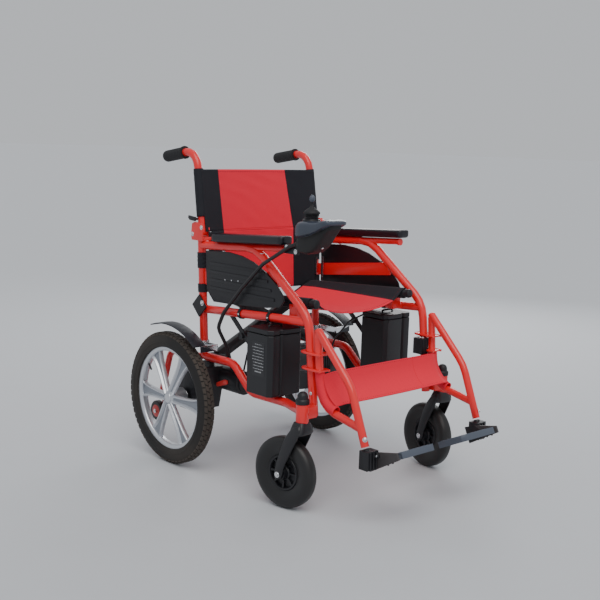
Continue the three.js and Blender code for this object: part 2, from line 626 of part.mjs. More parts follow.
// Joystick unit on the right arm.
function controllerBox() {
  const body = [[-507, 726], [-512, 706], [-528, 692], [-582, 692], [-600, 704], [-622, 748], [-629, 768]];
  const cover = [[-503, 732], [-507, 758], [-512, 770], [-520, 775], [-572, 776], [-604, 783], [-622, 783],
    [-633, 775], [-630, 768], [-590, 756]];
  const shell = prism(cover, 'x', CONTROLLER_X - 37, CONTROLLER_X + 37);
  const base = prism([...body, [-600, 766], [-515, 742]], 'x', CONTROLLER_X - 28, CONTROLLER_X + 28);
  const armFoot = vec(-231, ARM_TUBE_END_Y - 1.6, armZ(ARM_TUBE_END_Y) + ARM_TUBE_LIFT);
  const arm = rod(armFoot, vec(-238, -520, 702), 7, 12);
  const well = rod(vec(CONTROLLER_X, STICK.y, 762), vec(CONTROLLER_X, STICK.y, 790), STICK.wellR, 20);
  const keys = KEYS.map(({ x, y, r }) => rod(vec(x, y, 771), vec(x, y, 800), r + GAP, 12));
  const rockerWell = box([ROCKER.x - 12.8, ROCKER.x + 12.8], [ROCKER.y - 6.4, ROCKER.y + 6.4], [771, 800]);
  return cut(join(shell, base, arm), well, ...keys, rockerWell);
}

const KEYS = [
  { x: CONTROLLER_X - 22, y: -600, r: 6.5 },
  { x: CONTROLLER_X + 22, y: -600, r: 6.5 },
];
const ROCKER = { x: CONTROLLER_X, y: -600 };
const deckZ = (y) => 776 + Math.min(Math.max((-572 - y) / 32, 0), 1) * 7;

// The ring tips fore and aft on its trunnions; the stick tips sideways on pins inside the ring.
function stickGimbal() {
  const z = STICK.pivotZ;
  const ring = rod(vec(0, 0, -2), vec(0, 0, 2), 15, 16);
  const hole = rod(vec(0, 0, -4), vec(0, 0, 4), 10, 16);
  const trunnions = rod(vec(-STICK.wellR + 1, 0, 0), vec(STICK.wellR - 1, 0, 0), 1.8, 8);
  const openRing = cut(join(ring, trunnions), hole);
  return openRing.translate(CONTROLLER_X, STICK.y, z);
}

function controlStick() {
  const profile = [[0, -5], [4, -5], [4, 9], [15, 9], [16, 13], [8, 26], [5, 36], [4, 51], [9, 58], [7, 70],
    [0, 72]].map(([r, z]) => new THREE.Vector2(r, z));
  const stem = new THREE.LatheGeometry(profile, 14).rotateX(Math.PI / 2);
  const pins = rod(vec(0, -9, 0), vec(0, 9, 0), 1.8, 8);
  return join(stem, pins).translate(CONTROLLER_X, STICK.y, STICK.pivotZ);
}

const key = ({ x, y, r }) => rod(vec(x, y, 773.5), vec(x, y, deckZ(y) + 2.2), r, 12);

function speedRocker() {
  const { x, y } = ROCKER;
  const outline = [[x - 12, 777], [x, 774.5], [x + 12, 777], [x + 12, deckZ(y) + 2.4], [x, deckZ(y) + 1.2],
    [x - 12, deckZ(y) + 2.4]];
  return prism(outline.map(([a, b]) => [b, a]), 'y', y - 6, y + 6);
}

// Cords, held along their whole run.
function mainCable() {
  const corners = [[-256, -502, 716], [-260, -470, 703], [-254, -357, 645], [-252, -264, 566], [-252, -184, 486],
    [-250, -154, 436], [-212, -150, 374], [-199, -162, 298]];
  return tube(rounded(corners.map((p) => vec(...p)), [18, 40, 60, 60, 40, 24]), 5.5, 8);
}

function batteryLead() {
  const corners = [[190, -331, 452], [190, -318, 458], [186, -262, 430], [178, -205, 362], [176, -186, 304]];
  return tube(rounded(corners.map((p) => vec(...p)), [10, 40, 40]), 3, 6);
}

// Assembly.
const chair = new THREE.Group();
chair.name = 'power_wheelchair';

function add(name, geometry, look) {
  const g = tidy(geometry).translate(0, ORIGIN_SHIFT_Y, 0);
  g.computeVertexNormals();
  const mesh = new THREE.Mesh(g, look);
  mesh.name = name;
  chair.add(mesh);
}

function addPair(name, geometry, look) {
  add('left_' + name, geometry, look);
  add('right_' + name, mirrored(geometry), look);
}

addPair('rear_post', rearPost(), redPaint);
addPair('front_tube', frontTube(), redPaint);
addPair('seat_rail', seatRail(), redPaint);
addPair('lower_rail', lowerRail(), redPaint);
addPair('side_guard', sideGuard(), blackPlastic);
addPair('arm_pad', armPad(), blackRubber);
addPair('fender', fender(), blackPlastic);
addPair('gearmotor', gearmotor(), blackPaint);
addPair('freewheel_lever', freewheelLever(), redPlastic);
addPair('battery_box', batteryBox(), blackPlastic);
addPair('hanger', hanger(), redPaint);
addPair('footrest_block', footrestBlock(), blackPlastic);
addPair('footplate', footplate(), greyPlate);
addPair('antitip_tube', antitipTube(), redPaint);
addPair('antitip_wheel', antitipWheel(), blackRubber);
addPair('rear_tyre', rearTyre(), blackRubber);
addPair('rear_rim', rearRim(), alloy);
addPair('caster_fork', swivelled(casterFork()), blackPaint);
addPair('caster_wheel', swivelled(casterWheel()), blackRubber);
addPair('back_post', backPost(), redPaint);
addPair('push_grip', pushGrip(), blackRubber);
addPair('release_lever', releaseLever(), blackPlastic);
add('brace_a', braceA(), blackPaint);
add('brace_b', braceB(), blackPaint);
add('seat_sling', seatSling(), redFabric);
add('back_upper_panel', backUpperPanel(), redFabric);
add('back_lower_panel', backLowerPanel(), redFabric);
add('calf_strap', calfStrap(), redFabric);
add('controller_box', controllerBox(), blackPlastic);
add('stick_gimbal', stickGimbal(), blackPlastic);
add('control_stick', controlStick(), blackRubber);
add('power_key', key(KEYS[0]), redPlastic);
add('horn_key', key(KEYS[1]), greyPlate);
add('speed_rocker', speedRocker(), greyPlate);
add('main_cable', mainCable(), blackRubber);
addPair('battery_lead', batteryLead(), blackRubber);

export default chair;
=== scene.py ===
import json
import math
import random

import bpy
from mathutils import Matrix, Vector

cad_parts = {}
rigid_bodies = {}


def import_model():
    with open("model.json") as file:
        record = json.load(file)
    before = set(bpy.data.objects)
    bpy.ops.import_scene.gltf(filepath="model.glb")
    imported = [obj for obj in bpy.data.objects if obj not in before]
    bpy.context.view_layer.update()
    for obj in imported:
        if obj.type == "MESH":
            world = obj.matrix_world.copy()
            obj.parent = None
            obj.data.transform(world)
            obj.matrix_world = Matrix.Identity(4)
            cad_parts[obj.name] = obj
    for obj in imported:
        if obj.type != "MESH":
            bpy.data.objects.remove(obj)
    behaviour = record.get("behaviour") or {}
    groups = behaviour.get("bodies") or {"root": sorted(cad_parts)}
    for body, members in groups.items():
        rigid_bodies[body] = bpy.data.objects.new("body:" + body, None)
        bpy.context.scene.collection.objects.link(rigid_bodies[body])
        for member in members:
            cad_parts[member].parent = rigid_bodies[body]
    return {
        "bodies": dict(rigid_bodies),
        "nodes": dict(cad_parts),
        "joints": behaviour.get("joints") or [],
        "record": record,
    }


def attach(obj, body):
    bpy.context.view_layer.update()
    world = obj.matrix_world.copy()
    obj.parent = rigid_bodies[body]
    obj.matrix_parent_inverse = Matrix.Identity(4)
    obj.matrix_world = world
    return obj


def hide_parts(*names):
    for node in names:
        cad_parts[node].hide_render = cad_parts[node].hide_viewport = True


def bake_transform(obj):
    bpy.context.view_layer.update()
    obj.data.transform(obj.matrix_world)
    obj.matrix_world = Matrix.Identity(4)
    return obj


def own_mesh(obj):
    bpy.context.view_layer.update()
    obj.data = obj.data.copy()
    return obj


random.seed(7)

# The chair is laid out in millimetres with the rear axle at y = 0; the frame's origin is SHIFT_Y behind it.
SHIFT_Y = 314.8
SIDES = {"right": -1, "left": 1}
ARM_SLOPE = 0.06
BACK_PIVOT = (-44, 708)
BACK_LEAN = 0.147
CLOTH_THICK = 2.4
THREAD = 0.0016  # spacing of the weave, in metres
FRAME_X = 229
ARM_X = 235
WHEEL_X = 308
WHEEL_R = 203
CASTER_STEM = (285, -567)
CASTER_TRAIL = 53
CASTER_TURN = 0.15
ANTITIP_AXLE = (183, 110)
STICK = (-240, -534, 771)
PLATE_HINGE = (192, -742, 160)
PLATE_TOES_UP = 0.445
PLATE_FRONT = 110


def at(x, y, z):
    return Vector((x, y + SHIFT_Y, z)) / 1000


def arm_z(y):
    return 664.5 - ARM_SLOPE * y


def seat_z(y):
    return 517.5 - ARM_SLOPE * y


def rail_z(y):
    return 474.5 - ARM_SLOPE * y


def post_y(z):
    return -46 - 0.045 * (688 - z)


def back_y(z):
    return BACK_PIVOT[0] + BACK_LEAN * (z - BACK_PIVOT[1])


# ---------------------------------------------------------------- materials

class Nodes:
    """A small helper that adds and links shader nodes."""

    def __init__(self, name):
        self.material = bpy.data.materials.new(name)
        self.material.use_nodes = True
        self.tree = self.material.node_tree
        self.shader = self.tree.nodes["Principled BSDF"]

    def add(self, kind, **values):
        node = self.tree.nodes.new(kind)
        for key, value in values.items():
            if key in node.inputs:
                node.inputs[key].default_value = value
            else:
                setattr(node, key.lower(), value)
        return node

    def link(self, source, target):
        self.tree.links.new(source, target)

    def ramp(self, source, low, high):
        node = self.add("ShaderNodeMapRange")
        node.inputs["To Min"].default_value = low
        node.inputs["To Max"].default_value = high
        self.link(source, node.inputs["Value"])
        return node.outputs["Result"]

    def mix(self, factor, a, b):
        node = self.add("ShaderNodeMix", data_type="RGBA")
        self.link(factor, node.inputs["Factor"])
        for socket, value in ((node.inputs[6], a), (node.inputs[7], b)):
            if isinstance(value, tuple):
                socket.default_value = (*value, 1)
            else:
                self.link(value, socket)
        return node.outputs[2]


def shade(color, amount):
    return tuple(min(1.0, max(0.0, c * amount)) for c in color)


def surface(name, color, roughness, grain, bump, mottle, metallic=0.0, coat=0.0, worn=None):
    """A solid material: mottled colour, uneven roughness and a fine grain in the normal."""
    n = Nodes(name)
    where = n.add("ShaderNodeTexCoord").outputs["Object"]
    broad = n.add("ShaderNodeTexNoise", Scale=9.0, Detail=6.0)
    fine = n.add("ShaderNodeTexNoise", Scale=grain, Detail=3.0)
    for texture in (broad, fine):
        n.link(where, texture.inputs["Vector"])
    low, high = shade(color, 1 - mottle), shade(color, 1 + mottle)
    tone = n.mix(broad.outputs["Fac"], low, high)
    if worn is not None:
        dust = n.add("ShaderNodeTexNoise", Scale=3.0, Detail=9.0)
        n.link(where, dust.inputs["Vector"])
        tone = n.mix(n.ramp(dust.outputs["Fac"], -0.45, 0.6), tone, worn)
    n.link(tone, n.shader.inputs["Base Color"])
    n.link(n.ramp(broad.outputs["Fac"], roughness * 0.8, min(1.0, roughness * 1.2)),
        n.shader.inputs["Roughness"])
    rough = n.add("ShaderNodeBump", Strength=bump, Distance=0.0006)
    n.link(fine.outputs["Fac"], rough.inputs["Height"])
    n.link(rough.outputs["Normal"], n.shader.inputs["Normal"])
    n.shader.inputs["Metallic"].default_value = metallic
    n.shader.inputs["Coat Weight"].default_value = coat
    n.shader.inputs["Coat Roughness"].default_value = 0.12
    return n.material


def woven(name, color):
    """Plain-weave nylon: two crossing sets of threads, sheen and a little fading."""
    n = Nodes(name)
    where = n.add("ShaderNodeTexCoord").outputs["UV"]
    pitch = 1 / (THREAD * 6.2832)
    warp = n.add("ShaderNodeTexWave", bands_direction="X", Scale=pitch, Distortion=0.4)
    weft = n.add("ShaderNodeTexWave", bands_direction="Y", Scale=pitch, Distortion=0.4)
    broad = n.add("ShaderNodeTexNoise", Scale=14.0, Detail=7.0)
    for texture in (warp, weft, broad):
        n.link(where, texture.inputs["Vector"])
    cross = n.add("ShaderNodeMath", operation="MULTIPLY")
    n.link(warp.outputs["Fac"], cross.inputs[0])
    n.link(weft.outputs["Fac"], cross.inputs[1])
    threads = n.mix(cross.outputs[0], shade(color, 0.82), shade(color, 1.12))
    faded = n.mix(n.ramp(broad.outputs["Fac"], 0.0, 0.22), threads, shade(color, 1.3))
    n.link(faded, n.shader.inputs["Base Color"])
    n.link(n.ramp(broad.outputs["Fac"], 0.72, 0.92), n.shader.inputs["Roughness"])
    rough = n.add("ShaderNodeBump", Strength=0.35, Distance=0.0005)
    n.link(cross.outputs[0], rough.inputs["Height"])
    folds = n.add("ShaderNodeBump", Strength=0.25, Distance=0.004)
    n.link(broad.outputs["Fac"], folds.inputs["Height"])
    n.link(rough.outputs["Normal"], folds.inputs["Normal"])
    n.link(folds.outputs["Normal"], n.shader.inputs["Normal"])
    n.shader.inputs["Sheen Weight"].default_value = 0.04
    n.shader.inputs["Sheen Roughness"].default_value = 0.4
    return n.material


# Solid materials: name, colour, roughness, grain, bump, mottle and what else each one has.
SURFACES = {
    "red_paint": ("powder_coat_red", (0.86, 0.016, 0.018), 0.32, 900, 0.1, 0.05, {"coat": 0.35}),
    "black_paint": ("satin_black", (0.010, 0.010, 0.013), 0.40, 700, 0.15, 0.25, {"coat": 0.1}),
    "black_plastic": ("moulded_black", (0.007, 0.007, 0.010), 0.44, 1400, 0.35, 0.3),
    # The hood is black plastic; its lighter blue-grey colour is a painted reflection (sheen) lifted into the
    # base colour.
    "hood_plastic_painted_sheen": ("hood_black", (0.032, 0.042, 0.066), 0.34, 1200, 0.12, 0.2, {"coat": 0.25}),
    # Black plastic, made darker than the moulded black as painted shade under the hood's overhang.
    "body_plastic": ("body_black", (0.0035, 0.003, 0.004), 0.58, 1200, 0.3, 0.2),
    "fender_plastic": ("fender_plastic", (0.006, 0.008, 0.015), 0.46, 900, 0.25, 0.2),
    "bracket_grey": ("bracket_grey", (0.045, 0.040, 0.042), 0.5, 700, 0.2, 0.2),
    "red_plastic": ("smooth_red", (0.72, 0.04, 0.035), 0.35, 900, 0.1, 0.08, {"coat": 0.2}),
    "grey_plate": ("ribbed_grey", (0.075, 0.09, 0.12), 0.45, 600, 0.3, 0.2),
    "pad_cover": ("moulded_skin", (0.006, 0.006, 0.011), 0.34, 1100, 0.4, 0.2),
    "grip_rubber": ("grip_rubber", (0.008, 0.008, 0.010), 0.62, 900, 0.5, 0.3),
    "tyre": ("tread_rubber", (0.010, 0.009, 0.009), 0.74, 260, 0.4, 0.35, {"worn": (0.115, 0.088, 0.068)}),
    "tread_block": ("dusty_blocks", (0.052, 0.041, 0.034), 0.8, 300, 0.4, 0.6),
    "small_tyre": ("solid_tyre", (0.009, 0.009, 0.010), 0.42, 500, 0.3, 0.3, {"worn": (0.03, 0.027, 0.024)}),
    "alloy": ("cast_alloy", (0.62, 0.64, 0.68), 0.3, 800, 0.12, 0.08, {"metallic": 0.75, "coat": 0.3}),
    "alloy_recess": ("cast_recess", (0.3, 0.32, 0.36), 0.45, 500, 0.25, 0.12, {"metallic": 0.6}),
    "steel": ("plated_steel", (0.75, 0.76, 0.78), 0.22, 900, 0.08, 0.08, {"metallic": 1.0}),
    "thread": ("stitching", (0.02, 0.02, 0.025), 0.8, 1500, 0.5, 0.12),
    "red_thread": ("red_stitching", (0.22, 0.006, 0.010), 0.8, 1500, 0.5, 0.12),
    "cord": ("cable_sheath", (0.007, 0.007, 0.009), 0.45, 800, 0.25, 0.3),
    "label": ("label_film", (0.010, 0.010, 0.013), 0.30, 300, 0.05, 0.1),
    "print": ("label_bars", (0.42, 0.43, 0.45), 0.5, 300, 0.05, 0.1),
    "pale_floor": ("pale_floor", (0.56, 0.58, 0.61), 0.8, 60, 0.03, 0.02),
}
LOOKS = {look: surface(*row[:6], **dict(*row[6:])) for look, row in SURFACES.items()}
LOOKS["red_fabric"] = woven("nylon_red", (0.93, 0.014, 0.046))
LOOKS["black_fabric"] = woven("nylon_black", (0.007, 0.008, 0.014))


# ---------------------------------------------------------------- mesh helpers

def link(name, mesh):
    obj = bpy.data.objects.new(name, mesh)
    bpy.context.scene.collection.objects.link(obj)
    return obj


def solid(name, points, faces, look, crisp=35):
    """A mesh object from points in metres, smooth except at edges sharper than `crisp` degrees."""
    mesh = bpy.data.meshes.new(name)
    mesh.from_pydata([tuple(p) for p in points], [], faces)
    mesh.validate()
    mesh.shade_smooth()
    mesh.set_sharp_from_angle(angle=math.radians(crisp))
    mesh.materials.append(LOOKS[look])
    return link(name, mesh)


def merge(name, parts, look, crisp=35):
    """One object from several (points, faces) parts."""
    points, faces = [], []
    for part_points, part_faces in parts:
        start = len(points)
        points += part_points
        faces += [tuple(i + start for i in face) for face in part_faces]
    return solid(name, points, faces, look, crisp)


def round_edges(obj, width, segments, angle):
    """Rounds every edge sharper than angle degrees by width millimetres."""
    rounding = obj.modifiers.new("edges", "BEVEL")
    rounding.width = width / 1000
    rounding.segments = segments
    rounding.limit_method = "ANGLE"
    rounding.angle_limit = math.radians(angle)
    return rounding


def place(obj, body, slot, *stands_for, bevel=None):
    """Rounds the edges by `bevel` millimetres and hands the piece to the frame."""
    if bevel:
        round_edges(obj, bevel, 3, 30).harden_normals = True
    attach(obj, body)
    if stands_for:
        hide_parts(*stands_for)
    return obj


def put(name, parts, look, body, slot, *stands_for, crisp=35, bevel=None):
    """Merges parts into one piece and places it."""
    return place(merge(name, parts, look, crisp), body, slot, *stands_for, bevel=bevel)


def rings(sections, closed_ends=True):
    """A skin over rings of points that all have the same number of points."""
    count = len(sections[0])
    points = [p for ring in sections for p in ring]
    faces = []
    for i in range(len(sections) - 1):
        for k in range(count):
            a, b = i * count + k, i * count + (k + 1) % count
            faces.append((a, b, b + count, a + count))
    if closed_ends:
        last = (len(sections) - 1) * count
        faces.append(tuple(range(count - 1, -1, -1)))
        faces.append(tuple(range(last, last + count)))
    return points, faces


BOX_FACES = [(0, 1, 3, 2), (4, 6, 7, 5), (0, 4, 5, 1), (2, 3, 7, 6), (0, 2, 6, 4), (1, 5, 7, 3)]


def span(side, a, b):
    """The X limits of something between a and b millimetres out on one side."""
    return sorted((side * a, side * b))


def block(x, y, z, turn=None, about=None):
    """A box between limits in millimetres, optionally turned by a matrix about a point."""
    corners = [Vector((a, b, c)) for a in x for b in y for c in z]
    if turn is not None:
        pivot = Vector(about)
        corners = [pivot + turn @ (c - pivot) for c in corners]
    return [at(*c) for c in corners], BOX_FACES


def frame_of(direction):
    """Two unit vectors across a direction."""
    direction = direction.normalized()
    side = Vector((1, 0, 0)) if abs(direction.x) < 0.9 else Vector((0, 0, 1))
    u = (side - direction * side.dot(direction)).normalized()
    return u, direction.cross(u)


def angles(count):
    """Evenly spaced angles for one full turn."""
    return [2 * math.pi * k / count for k in range(count)]


def circle(centre, u, v, radius, sides):
    """A ring of points in metres round a centre in millimetres."""
    return [at(*(centre + (u * math.cos(a) + v * math.sin(a)) * radius)) for a in angles(sides)]


def squared(value, power):
    """A sine or cosine raised to a power, which makes a round outline boxier."""
    return math.copysign(abs(value) ** power, value)


def turned_solid(profile, foot, direction, sides=32, closed=False):
    """A lathe solid: profile is (distance along, radius) pairs in millimetres from foot along direction."""
    direction = Vector(direction).normalized()
    u, v = frame_of(direction)
    sections = [circle(Vector(foot) + direction * along, u, v, radius, sides) for along, radius in profile]
    if closed:
        return rings(sections + [sections[0]], closed_ends=False)
    return rings(sections)


def bolt(foot, direction, radius=5.0, height=3.5):
    """A domed bolt head on a washer."""
    profile = [(0, radius * 1.5), (0.8, radius * 1.5), (0.8, radius), (height * 0.7, radius * 0.92),
        (height, radius * 0.55), (height + 0.2, 0.4)]
    return turned_solid(profile, foot, direction, sides=20)


def smooth_path(points, steps=8):
    """A Catmull-Rom line through points."""
    points = [Vector(p) for p in points]
    padded = [points[0] * 2 - points[1]] + points + [points[-1] * 2 - points[-2]]
    line = []
    for i in range(1, len(padded) - 2):
        a, b, c, d = padded[i - 1: i + 3]
        for k in range(steps):
            t = k / steps
            line.append(0.5 * ((2 * b) + (c - a) * t + (2 * a - 5 * b + 4 * c - d) * t * t
                + (3 * b - a - 3 * c + d) * t ** 3))
    return line + [points[-1]]


def heading(path, i):
    """The direction of a path at its point i."""
    return (path[min(i + 1, len(path) - 1)] - path[max(i - 1, 0)]).normalized()


def pipe(path, radius, sides=16):
    """A round bar along a list of millimetre points; radius is one number or one for each point."""
    path = [Vector(p) for p in path]
    radii = radius if isinstance(radius, list) else [radius] * len(path)
    u = frame_of(path[1] - path[0])[0]
    sections = []
    for i, point in enumerate(path):
        along = heading(path, i)
        u = (u - along * u.dot(along)).normalized()
        sections.append(circle(point, u, along.cross(u), radii[i], sides))
    return rings(sections)


# ---------------------------------------------------------------- CAD parts that stay in view

BEVELS = {
    "fender": 0.9, "gearmotor": 3.0, "side_guard": 0.9, "footrest_block": 1.2, "footplate": 1.2,
    "release_lever": 1.0, "freewheel_lever": 1.2, "seat_rail": 0.8, "rear_post": 0.9, "lower_rail": 0.8,
    "hanger": 0.8, "antitip_tube": 0.8, "brace_a": 1.0, "brace_b": 1.0, "power_key": 0.6, "horn_key": 0.6,
    "speed_rocker": 0.5,
}
CAD_LOOKS = {
    "fender": "fender_plastic", "gearmotor": "black_paint", "side_guard": "black_plastic",
    "footrest_block": "black_plastic", "footplate": "grey_plate", "release_lever": "black_plastic",
    "freewheel_lever": "red_plastic", "brace_a": "black_paint", "brace_b": "black_paint",
    "power_key": "red_plastic", "horn_key": "grey_plate", "speed_rocker": "grey_plate",
    "main_cable": "cord", "battery_lead": "cord", "stick_gimbal": "black_plastic",
    "antitip_wheel": "small_tyre",
}


def plain_name(node):
    for side in SIDES:
        node = node.removeprefix(side + "_")
    return node


def smooth_cad(obj):
    """Welds the facets, rounds the hard edges and shades round parts smoothly."""
    mesh = obj.data
    for name in ("custom_normal", "sharp_face", "sharp_edge"):
        if name in mesh.attributes:
            mesh.attributes.remove(mesh.attributes[name])
    mesh.shade_smooth()
    weld = obj.modifiers.new("weld", "WELD")
    weld.merge_threshold = 0.00002
    width = BEVELS.get(plain_name(obj.name))
    if width:
        round_edges(obj, width, 2, 50)
    split = obj.modifiers.new("crease", "EDGE_SPLIT")
    split.split_angle = math.radians(44)


def paint_cad(nodes):
    for name, obj in nodes.items():
        smooth_cad(obj)
        obj.data.materials.clear()
        obj.data.materials.append(LOOKS[CAD_LOOKS.get(plain_name(name), "red_paint")])


def repaint(obj, look, inside):
    """Gives the faces whose centre (in millimetres of the layout) passes `inside` another material."""
    obj.data.materials.append(LOOKS[look])
    index = len(obj.data.materials) - 1
    for face in obj.data.polygons:
        c = face.center * 1000
        if inside(abs(c.x), c.y - SHIFT_Y, c.z):
            face.material_index = index


def repaint_details(nodes):
    details = (("hanger", "black_plastic", lambda x, y, z: x < 213.8 and 372 < z < 423 and y > -568),
        ("seat_rail", "black_paint", lambda x, y, z: z < rail_z(y) - 13.2 and -300 < y < -180),
        ("lower_rail", "black_paint", lambda x, y, z: x < 214 and -150 < y < -55),
        ("gearmotor", "steel", lambda x, y, z: x > 256.5), ("antitip_tube", "steel",
        lambda x, y, z: y > 165 and z < 122 and x > 215), ("fender", "steel", lambda x, y, z: x < 285),
        ("footplate", "black_plastic", lambda x, y, z: x > 188 and y > -820),
        ("footrest_block", "bracket_grey", lambda x, y, z: x < 209 and y < -775.5))
    for side in SIDES:
        for node, look, inside in details:
            repaint(nodes[f"{side}_{node}"], look, inside)


# ---------------------------------------------------------------- wheels

def radial(a, r, angle, side):
    """A point of a rear wheel: a millimetres outward along its axle, r from the axle, at an angle."""
    return at(side * (WHEEL_X + a), r * math.cos(angle), WHEEL_R + r * math.sin(angle))


def wheel_ring(profile, side, sides=96):
    sections = [[radial(a, r, side * angle, side) for a, r in profile] for angle in angles(sides)]
    return rings(sections + [sections[0]], closed_ends=False)


def tread(side):
    """Low tread blocks: a staggered double row in the middle and a row on each shoulder."""
    parts = []
    count = 66
    rows = [(-5.2, 4.6, 200.6, 202.7, 0.0, 0.30), (5.2, 4.6, 200.6, 202.7, 0.5, -0.30),
        (-13.6, 3.2, 195.2, 199.2, 0.25, 0.1), (13.6, 3.2, 195.2, 199.2, 0.75, -0.1)]
    for middle, half, low, high, stagger, skew in rows:
        for k in range(count):
            centre = 2 * math.pi * (k + stagger) / count
            reach = 0.40 * 2 * math.pi / count
            ring = []
            for r in (low - 3, high):
                for da, dt in ((-1, -1), (1, -1), (1, 1), (-1, 1)):
                    drop = 3.2 if abs(middle) > 10 and da * middle > 0 and r == high else 0.0
                    ring.append(radial(middle + da * half, r - drop, centre + dt * reach
                        + skew * da * reach, side))
            parts.append((ring, [(0, 1, 2, 3), (7, 6, 5, 4), (0, 4, 5, 1), (1, 5, 6, 2), (2, 6, 7, 3),
                (3, 7, 4, 0)]))
    return parts


def rear_tyre(name, side):
    half = [(14, 156.6), (18, 158), (20.4, 166), (20.8, 175), (19.6, 184), (16.6, 191.5), (11, 197.8),
        (5, 200.6)]
    section = [(-a, r) for a, r in half] + list(reversed(half))
    parts = [wheel_ring(section, side, 128)]
    for bead in (-1, 1):
        ridge = [(bead * 20.0, 169), (bead * 21.4, 170), (bead * 21.4, 172), (bead * 20.4, 173)]
        parts.append(wheel_ring(ridge if bead > 0 else list(reversed(ridge)), side, 96))
    put(name + "_tyre_tread", parts, "tyre", name + "_rear_wheel", "tyre", name + "_rear_tyre", crisp=40)
    put(name + "_tread_blocks", tread(side), "tread_block", name + "_rear_wheel", "tyre")


def spoke_section(r, half, rise, side, angle):
    """One cross-section of a spoke: a channel between two raised ribs, `rise` millimetres further out."""
    outline = [(-1, 0, -7), (-1, 0, 1), (-1, 2.2, 5.5), (-1, 6.0, 5), (-1, 9.5, -1), (1, -9.5, -1),
        (1, -6.0, 5), (1, -2.2, 5.5), (1, 0, 1), (1, 0, -7)]
    return [radial(a + rise, math.hypot(r, sign * half + dt), angle + math.atan2(sign * half + dt, r),
        side) for sign, dt, a in outline]


def rear_rim(name, side):
    lip = [(-16, 156), (-16, 150), (-12, 146), (4, 144), (9, 145.5), (11.5, 150), (12.4, 156),
        (11.5, 158.5), (9, 158), (6, 156)]
    bright = [wheel_ring(lip, side, 128)]
    dark = []
    for k in range(6):
        angle = math.pi * k / 3
        sections = []
        for step in range(15):
            t = step / 14
            half = 12.5 + 5 * t + 10 * t ** 5
            rise = 6.5 * (1 - t) ** 1.5 + 1.5
            sections.append(spoke_section(17 + 130 * t, half, rise, side, angle))
        points, faces = rings(sections)
        floor = [f for f in faces if len(f) == 4 and f[0] % 10 == 4]
        rest = [f for f in faces if f not in floor]
        bright.append((points, rest))
        dark.append((points, floor))
    hub = [(-41, 1), (-41, 26), (-2, 26), (4, 25), (8, 21), (10, 17.5), (10.6, 15.6), (13.2, 15),
        (14, 13.6), (14, 1)]
    bright.append(turned_solid(hub, (side * WHEEL_X, 0, WHEEL_R), (side, 0, 0), 48))
    put(name + "_cast_rim", bright, "alloy", name + "_rear_wheel", "alloy", name + "_rear_rim", crisp=50)
    put(name + "_rim_recesses", dark, "alloy_recess", name + "_rear_wheel", "alloy", crisp=50)
    studs = [bolt(Vector((side * (WHEEL_X + 7), 20.5 * math.cos(a), WHEEL_R + 20.5 * math.sin(a))),
        (side, 0, 0), 1.8, 2.2) for a in (math.pi / 6 + math.pi * k / 3 for k in range(6))]
    put(name + "_hub_studs", studs, "steel", name + "_rear_wheel", "alloy")
    valve = pipe([(side * (WHEEL_X - 2), 0.82 * 147, WHEEL_R + 0.57 * 147),
        (side * (WHEEL_X + 3), 0.82 * 122, WHEEL_R + 0.57 * 122)], 3.0, 10)
    put(name + "_valve", [valve], "grip_rubber", name + "_rear_wheel", "alloy")


def caster_frame(side):
    """The caster wheel's centre and its axle direction."""
    turn = side * CASTER_TURN
    stem_x, stem_y = CASTER_STEM
    centre = Vector((side * stem_x + CASTER_TRAIL * math.sin(turn), stem_y + CASTER_TRAIL * math.cos(turn),
        100))
    return centre, Vector((math.cos(turn), -math.sin(turn), 0))


def caster_wheel(name, side):
    centre, axle = caster_frame(side)
    half = [(11, 50), (14.5, 55), (18, 64), (20, 74), (20.4, 84), (17.5, 93), (11, 98.8), (4, 100)]
    tread_profile = [(-a, r) for a, r in half] + list(reversed(half))
    put(name + "_solid_tyre", [turned_solid(tread_profile, centre, axle, 80, closed=True)], "small_tyre",
        name + "_caster_wheel", "small_tyre", name + "_caster_wheel", crisp=50)
    barrel = [(-25, 7), (-25, 17), (-12, 19), (-9, 22), (9, 22), (12, 19), (25, 17), (25, 7)]
    rim = [(-11, 51), (-13.5, 49), (-13, 44), (-8, 41), (8, 41), (13, 44), (13.5, 49), (11, 51)]
    web = [(-3, 20), (-3, 43), (3, 43), (3, 20)]
    parts = [turned_solid(p, centre, axle, 64, closed=True) for p in (barrel, rim, web)]
    u, v = frame_of(axle)
    for k in range(8):
        a = 2 * math.pi * k / 8
        out, across = u * math.cos(a) + v * math.sin(a), v * math.cos(a) - u * math.sin(a)
        sections = []
        for r, half, deep in ((17, 3.4, 11), (30, 2.4, 8), (43, 3.2, 11)):
            spot = centre + out * r
            sections.append([at(*(spot + across * p * half + axle * q * deep)) for p,
                q in ((-1, -1), (1, -1), (1, 1), (-1, 1))])
        parts.append(rings(sections))
    put(name + "_caster_hub", parts, "black_plastic", name + "_caster_wheel", "small_tyre")


FORK_LINE = [(240, 2, 13, 9), (232, 3, 18, 5), (222, 6, 21.5, 2), (210, 11, 23, 0.5), (196, 17, 23, 0),
    (180, 24, 22, 0), (164, 31, 20.5, 0), (148, 38, 18.8, 0), (130, 45.5, 16.8, 0), (112, 51.5, 15, 0),
    (98, 53, 14, 0), (88, 53, 10.5, 0), (84, 53, 3, 0)]
FORK_CROWN = [(251, 17, 15), (249, 20, 18), (243, 23, 20.5), (236, 26.5, 22), (229, 30.5, 23),
    (222, 33.5, 23), (218, 32, 21)]


